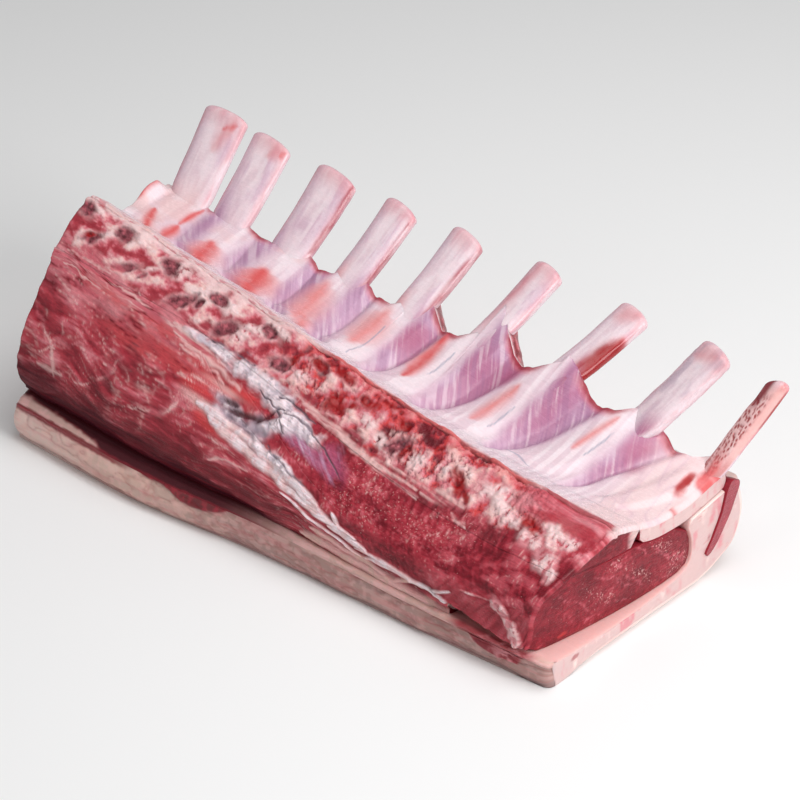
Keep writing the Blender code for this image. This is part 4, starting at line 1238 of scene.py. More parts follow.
class FatSide:
    """Paint and relief of the outside of the fat."""

    def coat(self, x: Array, share: Array) -> Coat:
        """Coat of the fat's outside from the ledge (0) round to the outer top (1).

        Args:
            x: Places along the chine in millimetres.
            share: Share of the curve, from 0 to 1.

        Returns:
            The painted coat.
        """
        section = SHAPE.skin(x, share)
        z = section[..., 1]
        space = np.concatenate([x[..., None], section], axis=-1)
        soft = NOISE.fractal(space / 18, 4)
        mottle = NOISE.fractal(space / 6 + 9, 3)
        fine = NOISE.fractal(space / 2.0 + 5, 3)
        coat = Coat.plain(x.shape, Tint.FAT, 0.42)
        coat.lay(Tint.FAT_PINK, 0.55 * step(0.42, 0.62, soft))
        ledge = step(0.30, 0.24, share)
        # The ledge is the fat's side towards the chine side: duller, and greyer towards the loin,
        # partly painted shade of that side.
        coat.lay(Tint.FAT_DULL, ledge * (0.90 - 0.35 * step(60, 10, x)), 0.45)
        coat.lay(Tint.FAT_GREY, 0.85 * ledge * step(60, 125, x + 20 * (mottle - 0.5)))
        coat.lay(Tint.FAT_PINK, 0.30 * ledge * step(0.48, 0.60, fine))
        drawn = NOISE.fractal(joined(x * 0.06, z * 0.9, 0), 3)
        coat.lay(Tint.LEAN_PINK, 0.22 * ledge * step(0.52, 0.68, drawn))
        coat.lay(Tint.GREY, 0.16 * ledge * step(0.46, 0.30, drawn) * step(60, 110, x))
        coat.lay(Tint.CREAM, 0.50 * ledge * step(0.46, 0.34, mottle) * step(140, 80, x))
        crease = NOISE.ridges(space * (0.10, 0.2, 0.2), 3, 16)
        coat.lay(Tint.LEAN, 0.30 * crease * ledge)
        line = step(0.030, 0.014, share + 0.014 * (fine - 0.5)) * step(66, 52, x)
        coat.lay(Tint.LEAN_DARK, 0.90 * line, 0.4)
        self._flaps(coat, x, z, ledge, mottle, fine)
        # Grey at the foot of the ledge: painted shade near the floor.
        bottom = step(3.0, 0.6, z) * ledge
        coat.lay(Tint.GREY, 0.22 * bottom)
        flat = step(0.20, 0.26, share) * step(0.60, 0.55, share)
        level = (1 - flat) * (0.25 + 0.75 * step(-3, 8, x) * step(260, 246, x))
        coat.relief *= level
        lumps = 2.4 * (soft - 0.5) + 0.9 * (mottle - 0.5)
        coat.relief += level * (lumps + 0.25 * (fine - 0.5) - 0.4 * crease)
        return coat

    def _flaps(self, coat: Coat, x: Array, z: Array, ledge: Array, mottle: Array,
               fine: Array) -> None:
        """Muscle that hangs over the ledge at both ends, and the cream band between.

        Args:
            coat: Coat to paint on.
            x: Places along the chine in millimetres.
            z: Heights in millimetres.
            ledge: Cover of the ledge.
            mottle: Coarse noise from 0 to 1.
            fine: Fine noise from 0 to 1.
        """
        uneven = mottle - 0.5
        low = np.interp(x, HANG_X, HANG_LOW)
        bump = step(-0.2, 0.7, z - low - 1.6 * uneven) * ledge * step(60, 68, x) * step(118, 112, x)
        coat.lay(Tint.LEAN_DEEP, 0.95 * bump, 0.4, 0.8)
        coat.lay(Tint.LEAN, 0.8 * bump * step(0.42, 0.60, fine))
        band = step(10.2, 11.4, z + 1.4 * uneven) * step(140, 156, x)
        coat.lay(Tint.CREAM, 0.75 * ledge * band)
        low = np.interp(x, LOIN_FLAP_X, LOIN_FLAP_LOW) + 2.0 * uneven
        flap = step(-0.3, 0.9, z - low) * ledge
        coat.lay(Tint.LEAN, 0.92 * flap, 0.3, 0.8)
        coat.lay(Tint.LEAN_DARK, 0.7 * flap * step(0.50, 0.36, mottle))
        pale = step(232, 242, x + 5 * uneven) * step(0.36, 0.52, fine)
        coat.lay(Tint.ROSE, 0.85 * flap * pale, 0.4, 0.5)


# Marbling of the loin cut: y and z of both ends, bend and half width.
MARBLE_LINES = (
    (40, 31, 43, 28, 0.3, 0.8), (70, 20, 77, 14, 0.8, 0.7), (73, 17, 78, 19, 0.3, 0.5),
    (66, 13, 76, 11, 0.3, 0.4), (58, 30, 66, 24, 0.6, 0.4), (30, 30, 50, 16, 0.9, 0.4),
    (62, 26, 72, 16, 0.5, 0.4), (36, 16, 48, 12, 0.4, 0.4), (20, 24, 30, 14, 0.4, 0.4),
    (12, 30, 18, 24, 0.3, 0.5), (50, 34, 58, 27, 0.3, 0.4), (44, 24, 56, 14, 0.6, 0.4),
)
# Ovals of the cut ends: y, z, half length, half width and tilt.
MARBLE_SPOTS = (
    (74, 17, 6, 5, 0), (41, 30, 4, 3, 0), (52, 22, 9, 2.2, -40), (34, 20, 8, 2.5, -35),
    (64, 28, 7, 3, -30),
)
RED_NICKS = ((15, 12, 2.0, 1.0, 0), (75, 33, 1.6, 0.8, 0))
FAT_NICKS = ((86, 33, 1.4, 0.7, -30), (14, 7, 2.0, 0.8, 10), (90, 19, 1.2, 0.5, 40))
FAT_CUT_RAMP = ((0.34, Tint.ROSE), (0.44, Tint.FAT_CUT), (0.60, Tint.FAT_CUT), (0.72, Tint.FAT))
LEAN_CUT_RAMP = ((0.32, Tint.LEAN_DEEP), (0.52, Tint.LEAN_DARK), (0.66, Tint.LEAN),
                 (0.80, Tint.LEAN_PINK))


@dataclass(frozen=True)
class CutFace:
    """Paint and relief of a cut end, from the y and z of its points.

    Args:
        base: Kind of tissue.
        seed: Shift of the noise, so that no two cuts look alike.
        tissue_from: The y where pale tissue starts, or 0 for none.
    """

    base: Tint
    seed: float
    tissue_from: float = 0.0

    def coat(self, y: Array, z: Array) -> Coat:
        """Coat of lean or fat cut across the grain.

        Args:
            y: Places outwards in millimetres.
            z: Heights in millimetres.

        Returns:
            The painted coat.
        """
        sheet = Sheet(y, z, np.full_like(y, 1.0))
        plane = sheet.plane + self.seed
        coat = Coat.plain(y.shape, self.base, 0.36)
        soft = NOISE.fractal(plane / 9, 4)
        fine = NOISE.fractal(plane * 0.8, 3, 0.7)
        coat.relief += 0.5 * (soft - 0.5)
        if self.base in (Tint.FAT, Tint.FAT_PINK):
            self._fat(coat, sheet, plane, soft, fine)
        else:
            self._lean(coat, sheet, soft, fine)
        return coat

    def _fat(self, coat: Coat, sheet: Sheet, plane: Array, soft: Array, fine: Array) -> None:
        """Cut fat, with rosy patches and a few red nicks.

        Args:
            coat: Coat to paint on.
            sheet: Coordinates of the surface.
            plane: Places in the plane of the cut.
            soft: Coarse noise from 0 to 1.
            fine: Fine noise from 0 to 1.
        """
        grain = NOISE.fractal(plane * (0.5, 0.15, 1), 3)
        coat.ramp(0.6 * soft + 0.4 * grain, FAT_CUT_RAMP)
        coat.lay(Tint.LEAN_PINK, 0.5 * step(0.62, 0.74, fine) * step(0.5, 0.62, soft))
        coat.lay(Tint.LEAN, 0.7 * sheet.spots(FAT_NICKS, 0.5, 0.8, 0.6))

    def _lean(self, coat: Coat, sheet: Sheet, soft: Array, fine: Array) -> None:
        """Cut muscle, marbled and flecked, with tissue beyond the place where it starts.

        Args:
            coat: Coat to paint on.
            sheet: Coordinates of the surface.
            soft: Coarse noise from 0 to 1.
            fine: Fine noise from 0 to 1.
        """
        coat.ramp(0.5 * soft + 0.5 * fine, LEAN_CUT_RAMP)
        marble = sheet.strokes(MARBLE_LINES, 1.0, 1.6, 0.5)
        coat.lay(Tint.LEAN_PINK, 0.65 * marble * step(0.36, 0.60, fine))
        if self.base is Tint.LEAN_PINK:
            coat.lay(self.base, np.full_like(soft, 0.4))
        coat.fleck += 0.22 + 0.5 * sheet.spots(MARBLE_SPOTS, 1.0, 0.6, 0.2)
        coat.lay(Tint.RED, 0.6 * sheet.spots(RED_NICKS, 0.5, 0.8, 0.6))
        coat.relief += 0.25 * (fine - 0.5)
        if self.tissue_from:
            pale = step(-1.0, 2.5, sheet.x - self.tissue_from + 5 * (soft - 0.5))
            coat.lay(Tint.FAT_CUT, 0.95 * pale)
            coat.lay(Tint.ROSE, 0.5 * pale * step(0.48, 0.62, fine))


# ---- meshes ------------------------------------------------------------------------------
Edge = float | Callable[[Array], Array]
Paint = Callable[[Array, Array], Coat]
CORNER_CLEARANCE = 0.25


def read(edge: Edge, x: Array) -> Array:
    """Share of a curve at places along the chine, from a number or a function."""
    return edge(x) if callable(edge) else np.full_like(x, float(edge))


def gradient(points: Array, axis: int) -> Array:
    """Unit direction of a polyline at each of its points."""
    ahead = np.gradient(points, axis=axis)
    return ahead / np.maximum(np.linalg.norm(ahead, axis=-1, keepdims=True), 1e-9)


CORNER_REACH = 9


def turn_corner(before: Array, after: Array) -> None:
    """Turn the normals of two joined stretches gradually into their common corner's.

    Args:
        before: Normals of the first stretch, whose last point is the corner.
        after: Normals of the second stretch, whose first point is the corner.
    """
    corner = before[:, -1] + after[:, 0]
    corner /= np.linalg.norm(corner, axis=-1, keepdims=True)
    weight = 1 - np.arange(CORNER_REACH)[None, :, None] / CORNER_REACH
    for near in (before[:, :-CORNER_REACH - 1:-1], after[:, :CORNER_REACH]):
        near += (corner[:, None] - near) * weight[:, :near.shape[1]]
        near /= np.linalg.norm(near, axis=-1, keepdims=True)


@dataclass(frozen=True)
class Run:
    """One stretch of a closed cross section.

    Args:
        curve: Boundary curve, read at places along the chine and shares.
        start: Share where the stretch starts.
        end: Share where it ends.
        count: Number of points.
        paint: Field of colour and relief, or None for a stretch inside the food.
        lining: Paint of a stretch inside the food, or None for the tube's own tint.
    """

    curve: Callable[[Array, Array], Array]
    start: Edge
    end: Edge
    count: int
    paint: Paint | None = None
    lining: Paint | None = None

    def shares(self, x: Array) -> Array:
        """Share of each point: painted stretches keep both ends, hidden ones leave them out.

        Args:
            x: Places along the chine in millimetres.

        Returns:
            Share of each point of the stretch.
        """
        spaced = np.linspace(0, 1, self.count if self.paint else self.count + 2)
        spaced = spaced if self.paint else spaced[1:-1]
        start, end = read(self.start, x), read(self.end, x)
        return start[:, None] + (end - start)[:, None] * spaced

    def points(self, x: Array) -> Array:
        """Section points at places along the chine."""
        return self.curve(*np.broadcast_arrays(x[:, None], self.shares(x)))


@dataclass
class Patch:
    """Grid of points with its paint and fibre coordinates."""

    points: Array
    coat: Coat
    flow: Array


class MeshMaker:
    """Collects grids and strips of points into one closed mesh."""

    def __init__(self) -> None:
        """Start empty."""
        self.patches: list[Patch] = []
        self.faces: list[Array] = []
        self.count = 0

    def add(self, patch: Patch) -> Array:
        """Add a grid's points; returns their numbers, in the grid's shape.

        Args:
            patch: Grid to add.

        Returns:
            Numbers of the points.
        """
        self.patches.append(patch)
        numbers = self.count + np.arange(patch.points[..., 0].size)
        self.count += numbers.size
        return numbers.reshape(patch.points.shape[:-1])

    def quads(self, numbers: Array, closed: bool = False, flip: bool = False) -> None:
        """Faces over a grid of point numbers.

        Args:
            numbers: Point numbers, row by row.
            closed: Whether each row closes on itself.
            flip: Whether the faces turn the other way.
        """
        if closed:
            numbers = np.concatenate([numbers, numbers[:, :1]], axis=1)
        corners = [numbers[:-1, :-1], numbers[:-1, 1:], numbers[1:, 1:], numbers[1:, :-1]]
        faces = np.stack(corners, axis=-1).reshape(-1, 4)
        self.faces.append(faces[:, ::-1] if flip else faces)

    def zip(self, near: Array, near_at: Array, far: Array, flip: bool = False) -> None:
        """Triangles between two rows of points with different counts.

        Each edge gets a triangle whose third corner is the other row's point that stands
        level with the middle of that edge.

        Args:
            near: Point numbers of the first row.
            near_at: Share of the row's length at each of its points.
            far: Point numbers of the second row, evenly spaced and running the same way.
            flip: Whether the faces turn the other way.
        """
        near_middle = (near_at[1:] + near_at[:-1]) / 2
        far_middle = (np.arange(len(far) - 1) + 0.5) / (len(far) - 1)
        apex = far[np.searchsorted(far_middle, near_middle, side="left")]
        first = joined(near[:-1], near[1:], apex)
        apex = near[np.searchsorted(near_middle, far_middle, side="right")]
        second = joined(apex, far[1:], far[:-1])
        faces = np.concatenate([first, second])
        self.faces.append(faces[:, ::-1] if flip else faces)

    def fan(self, row: Array, pole: int, flip: bool = False) -> None:
        """Triangles from a closed row of points to one pole."""
        faces = joined(row, np.roll(row, -1), np.full_like(row, pole))
        self.faces.append(faces[:, ::-1] if flip else faces)

    def build(self, name: str, material: bpy.types.Material) -> bpy.types.Object:
        """Object at the origin with its mesh, attributes and material.

        Args:
            name: Name of the object and mesh.
            material: The only material.

        Returns:
            Smooth-shaded object whose points are in metres, kept inside the solids' box.
        """
        points = np.concatenate([patch.points.reshape(-1, 3) for patch in self.patches])
        points = (points - REST_CENTRE) * MM
        points = np.clip(points, CAD_BOX[0], CAD_BOX[1])
        sizes = np.concatenate([np.full(len(faces), faces.shape[1]) for faces in self.faces])
        corners = np.concatenate([faces.ravel() for faces in self.faces])
        mesh = bpy.data.meshes.new(name)
        mesh.vertices.add(len(points))
        mesh.vertices.foreach_set("co", points.ravel())
        mesh.loops.add(len(corners))
        mesh.loops.foreach_set("vertex_index", corners.astype(np.int32))
        mesh.polygons.add(len(sizes))
        starts = np.concatenate([[0], np.cumsum(sizes)[:-1]])
        mesh.polygons.foreach_set("loop_start", starts.astype(np.int32))
        mesh.update(calc_edges=True)
        coats = [patch.coat for patch in self.patches]
        self._attribute(mesh, "tint", "FLOAT_COLOR", "color", [
            np.concatenate([coat.colour, np.ones_like(coat.rough)[..., None]], axis=-1)
            for coat in coats])
        self._attribute(mesh, "rough", "FLOAT", "value", [coat.rough[..., None] for coat in coats])
        self._attribute(mesh, "fleck", "FLOAT", "value", [coat.fleck[..., None] for coat in coats])
        self._attribute(mesh, "flow", "FLOAT_VECTOR", "vector",
                        [patch.flow for patch in self.patches])
        mesh.polygons.foreach_set("use_smooth", np.ones(len(sizes), dtype=bool))
        mesh.validate()
        mesh.materials.append(material)
        piece = bpy.data.objects.new(name, mesh)
        bpy.context.scene.collection.objects.link(piece)
        return piece

    @staticmethod
    def _attribute(mesh: bpy.types.Mesh, name: str, kind: str, field: str,
                   parts: list[Array]) -> None:
        """Write one attribute of every point."""
        values = np.concatenate([part.reshape(-1, part.shape[-1])
                                 for part in parts]).astype(np.float32)
        mesh.attributes.new(name, kind, "POINT").data.foreach_set(field, values.ravel())


def coons(bottom: Array, right: Array, top: Array, left: Array) -> Array:
    """Patch between four edge curves.

    Every point is the blend of the two opposite edges each way, less the blend of the
    four corners.

    Args:
        bottom: Points from the first corner to the second.
        right: Points from the second corner to the third.
        top: Points from the third corner to the fourth.
        left: Points from the fourth corner back to the first.

    Returns:
        Grid of points whose rows run along the bottom.
    """
    u = np.linspace(0, 1, len(bottom))[None, :, None]
    v = np.linspace(0, 1, len(right))[:, None, None]
    low, high = bottom[None], top[::-1][None]
    near, far = left[::-1][:, None], right[:, None]
    corners = ((1 - u) * (1 - v) * bottom[0] + u * (1 - v) * bottom[-1]
               + (1 - u) * v * top[-1] + u * v * top[0])
    return (1 - v) * low + v * high + (1 - u) * near + u * far - corners


def lengths_along(points: Array) -> Array:
    """Distance from the start of a polyline to each of its points."""
    return np.concatenate([[0], np.cumsum(np.linalg.norm(np.diff(points, axis=0), axis=1))])


def resampled(points: Array, count: int) -> Array:
    """Points spaced evenly along a polyline.

    Args:
        points: Corners of the line.
        count: Number of points wanted.

    Returns:
        The new points.
    """
    lengths = lengths_along(points)
    at = np.linspace(0, lengths[-1], count)
    return np.stack([np.interp(at, lengths, points[:, i]) for i in range(points.shape[1])], axis=-1)


@dataclass(frozen=True)
class Cut:
    """A cut end of a tube.

    Args:
        rounding: Radius of the rounded rim.
        face: Paint of the cut.
        pitch: Spacing of its points, in millimetres.
        proud: How far the middle stands out.
    """

    rounding: float
    face: CutFace
    pitch: float = 1.0
    proud: float = 0.0


ROUNDING_RINGS = 5
# Share of a quarter turn that the rounded rim of a cut covers.
RIM_TURN = 0.94
JOINT_ROUNDING = 0.15
# Length that the fibre coordinates give to one share of a curve, in millimetres.
FLOW_SPAN = 60
# Power by which the middle of a cut stands out: the higher, the flatter the cut.
CUT_FLATNESS = 4


@dataclass(frozen=True)
class Tube:
    """Closed body with painted sides, running along the chine.

    Args:
        runs: Stretches of the cross section, counter-clockwise seen from the loin end.
        corners: Four places on it, each as the run and the share of that run.
        start: Place of the shoulder end.
        end: Place of the loin end.
        count: Number of sections.
        cuts: Shoulder and loin ends.
        hidden: Tint of the stretches inside the food.
        set_back: How far the loin end lies behind at the chine side.
    """

    runs: tuple[Run, ...]
    corners: tuple[tuple[int, float], ...]
    start: float
    end: float
    count: int
    cuts: tuple[Cut, Cut]
    hidden: Tint
    set_back: float = 0.0

    def build(self, name: str, material: bpy.types.Material) -> bpy.types.Object:
        """Mesh of the tube: its side grid, the rounded rims and both cut ends.

        Args:
            name: Name of the piece.
            material: Material of the piece.

        Returns:
            The piece.
        """
        maker = MeshMaker()
        x, inset, shift = self._rings()
        section, normal, coat, flow = self._sides(x)
        drawn = section - normal * (inset[:, None] * self._rim())[..., None]
        points = place(self._moved(x + shift, drawn), drawn)
        numbers = maker.add(Patch(points, coat, flow))
        maker.quads(numbers, closed=True)
        for row, cut, sign in ((0, self.cuts[0], -1), (-1, self.cuts[1], 1)):
            self._cap(maker, numbers[row], drawn[row], normal[row], float(x[row] + shift[row]), cut,
                      sign)
        return maker.build(name, material)

    def _rings(self) -> tuple[Array, Array, Array]:
        """Place, inset and further shift of every ring: sin and 1 - cos of the rim's angle."""
        angle = np.linspace(0, math.pi / 2, ROUNDING_RINGS + 1)[1:] * RIM_TURN
        low, high = (cut.rounding for cut in self.cuts)
        middle = np.linspace(self.start + low, self.end - high, self.count)
        x = np.pad(middle, ROUNDING_RINGS, mode="edge")
        none = np.zeros(self.count)
        inset = np.concatenate([low * (1 - np.cos(angle[::-1])), none, high * (1 - np.cos(angle))])
        shift = np.concatenate([-low * np.sin(angle[::-1]), none, high * np.sin(angle)])
        return x, inset, shift

    def _rim(self) -> Array:
        """Share of the rounding that each point of the section gets: little along hidden joints."""
        return np.concatenate([np.full(run.count, 1.0 if run.paint else JOINT_ROUNDING)
                               for run in self.runs])

    def _moved(self, x: Array, section: Array) -> Array:
        """Place of every point, with the loin end lying back at the chine side.

        Args:
            x: Places along the chine in millimetres.
            section: Points of the sections, y and z.

        Returns:
            Place of every point along the chine.
        """
        back = self.set_back * np.maximum(1 - section[..., 0] / SET_BACK_REACH, 0)
        near_end = np.clip((x - (self.end - SET_BACK_LENGTH)) / SET_BACK_LENGTH, 0, 1) ** 2
        return np.broadcast_to(x[:, None], section.shape[:-1]) - back * near_end[:, None]

    def _sides(self, x: Array) -> tuple[Array, Array, Coat, Array]:
        """Points, normals, paint and fibre coordinates of the whole side grid.

        Args:
            x: Places along the chine in millimetres.

        Returns:
            Points, normals, paint and fibre coordinates.
        """
        bases, normals, coats, flows = [], [], [], []
        for run in self.runs:
            base, shares = run.points(x), run.shares(x)
            ahead = gradient(base, 1)
            normal = joined(ahead[..., 1], -ahead[..., 0])
            grid_x = np.broadcast_to(x[:, None], shares.shape)
            paint = run.paint or run.lining
            coat = paint(grid_x, shares) if paint else Coat.plain(shares.shape, self.hidden)
            bases.append(base)
            normals.append(normal)
            coats.append(coat)
            flows.append(joined(grid_x, shares * FLOW_SPAN, 0) * MM)
        for i, run in enumerate(self.runs):
            if run.paint and self.runs[i - 1].paint:
                turn_corner(normals[i - 1], normals[i])
        coat = Coat(*(np.concatenate([getattr(c, field) for c in coats], axis=1)
                      for field in ("colour", "rough", "relief", "fleck")))
        normal = np.concatenate(normals, axis=1)
        section = np.concatenate(bases, axis=1) + normal * coat.relief[..., None]
        return section, normal, coat, np.concatenate(flows, axis=1)

    def _cap(self, maker: MeshMaker, ring: Array, drawn: Array, normal: Array, x: float, cut: Cut,
             sign: int) -> None:
        """Cut end: a patch over the last ring, zipped to it on all four sides.

        Args:
            maker: Mesh under construction.
            ring: Point numbers of the last ring.
            drawn: The y and z of its points.
            normal: Their normals.
            x: Place of the ring.
            cut: Rounding and paint of the end.
            sign: -1 at the shoulder end, 1 at the loin end.
        """
        counts = [run.count for run in self.runs]
        starts = np.concatenate([[0], np.cumsum(counts)])
        marks = [int(starts[run] + round(share * (counts[run] - 1))) for run, share in self.corners]
        rim = drawn - normal * CORNER_CLEARANCE
        sides, edges = [], []
        for mark, following in zip(marks, marks[1:] + [marks[0] + len(ring)]):
            wanted = np.arange(mark, following + 1) % len(ring)
            sides.append(ring[wanted])
            edges.append(rim[wanted])
        marks_at = [lengths_along(edge) for edge in edges]
        wide, high = (max(int(max(marks_at[i][-1], marks_at[i + 2][-1]) / cut.pitch), 2)
                      + 1 for i in (0, 1))
        edges = [resampled(edge, count) for edge, count in zip(edges, (wide, high, wide, high))]
        flat = coons(*edges)
        coat = cut.face.coat(flat[..., 0], flat[..., 1])
        u = np.linspace(-1, 1, wide)[None, :] ** CUT_FLATNESS
        v = np.linspace(-1, 1, high)[:, None] ** CUT_FLATNESS
        out = (1 - u) * (1 - v) * (cut.proud + coat.relief)
        points = place(self._moved(np.full(len(flat), x), flat) + sign * out, flat)
        flow = joined(flat[..., 0], flat[..., 1], 0) * MM
        numbers = maker.add(Patch(points, coat, flow))
        maker.quads(numbers, flip=sign < 0)
        rows = (numbers[0], numbers[:, -1], numbers[-1, ::-1], numbers[::-1, 0])
        for side, at, row in zip(sides, marks_at, rows):
            maker.zip(side, at / at[-1], row, flip=sign < 0)


# ---- ribs --------------------------------------------------------------------------------
# Features of each rib: kind of mark, share along the path and across (-1 to 1) of both ends,
# and half width in millimetres.
RIB_MARKS: dict[int, tuple] = {
    1: (("RED", 0.42, 0.60, 0.58, 0.72, 1.3), ("ROSE", 0.84, 0.1, 0.97, 0.6, 2.4),
        ("RED", 0.925, 0.2, 0.955, 0.8, 0.7)),
    2: (("RED", 0.05, 0.5, 0.42, 0.35, 2.0), ("ROSE", 0.93, 0.2, 0.98, 0.9, 2.0),
        ("RED", 0.95, 0.75, 0.97, 0.95, 0.9)),
    3: (("RED", 0.10, -0.55, 0.45, -0.35, 3.0), ("LEAN", 0.66, 0.95, 0.98, 0.98, 0.7)),
    4: (("SALMON", 0.35, -0.2, 0.56, 0.0, 3.0), ("LEAN", 0.64, 0.97, 0.95, 0.98, 0.6)),
    5: (("SALMON", 0.36, -0.1, 0.56, 0.0, 3.2), ("LEAN", 0.64, 0.92, 0.98, 0.97, 1.0)),
    6: (("LEAN_PINK", 0.46, -0.55, 0.98, -0.5, 2.6), ("SALMON", 0.40, 0.0, 0.56, 0.1, 2.0)),
    7: (("RED", 0.60, 0.92, 0.88, 0.82, 3.6), ("BLOOD", 0.62, 0.94, 0.87, 0.86, 3.4),
        ("BLOOD", 0.65, 0.92, 0.84, 0.9, 2.8),
        ("BLOOD", 0.66, 0.86, 0.84, 0.72, 2.2),
        ("ROSE", 0.93, -0.5, 0.98, 0.6, 2.2), ("MARROW", 0.56, 0.85, 0.66, 0.9, 1.2)),
    8: (("VEIN", 0.36, -0.3, 0.50, -0.1, 0.6), ("ROSE", 0.93, -0.6, 0.98, 0.7, 1.8)),
    9: (("RED", 0.42, 0.75, 0.66, 0.85, 1.3), ("BLOOD", 0.46, 0.9, 0.62, 0.95, 0.9),
        ("RED", 0.74, 0.92, 0.98, 0.92, 1.6),
        ("BLOOD", 0.84, 0.95, 0.96, 0.95, 1.2), ("LEAN", 0.89, -0.95, 0.99, -0.30, 1.9),
        ("MAROON", 0.92, -1.0, 0.99, -0.7, 1.0)),
}
TIP_SKEW = (1.4, 2.2, 2.4, 2.2, 2.2, 1.2, 1.0, 0.6, -2.0)
SKINNED_RIB = 8
SPONGY_RIB = 9
RIB_ANGLES = 84
RIB_STEP = 0.55
RIB_SQUARENESS = (0.7, 0.85)
RIB_NECK = 0.94
RIB_FLARE = 0.10
TIP_ROUNDING = 3.4
PATH_SAMPLES = 400
TIP_RINGS = np.array((0.55, 0.4, 0.28, 0.18, 0.1, 0.04))
END_CLEARANCE = 0.02
ROOT_ROUNDING = 1.5
SPONGY_WIDTH = 0.84
# Share of its size that each rib loses where the membrane buries it.
RIB_TAPER = (0.22, 0.22, 0.22, 0.22, 0.22, 0.28, 0.26, 0.44, 0.22)
# Share of the inner side under shares of the path; the membrane's paint runs on up to an end.
RIB_COVER_T = (0, 0.2, 0.4, 0.6, 1.0)
RIB_COVER_SHARE = (0.51, 0.65, 0.82, 0.98, 1.6)
RIB_COVER_END = 0.93


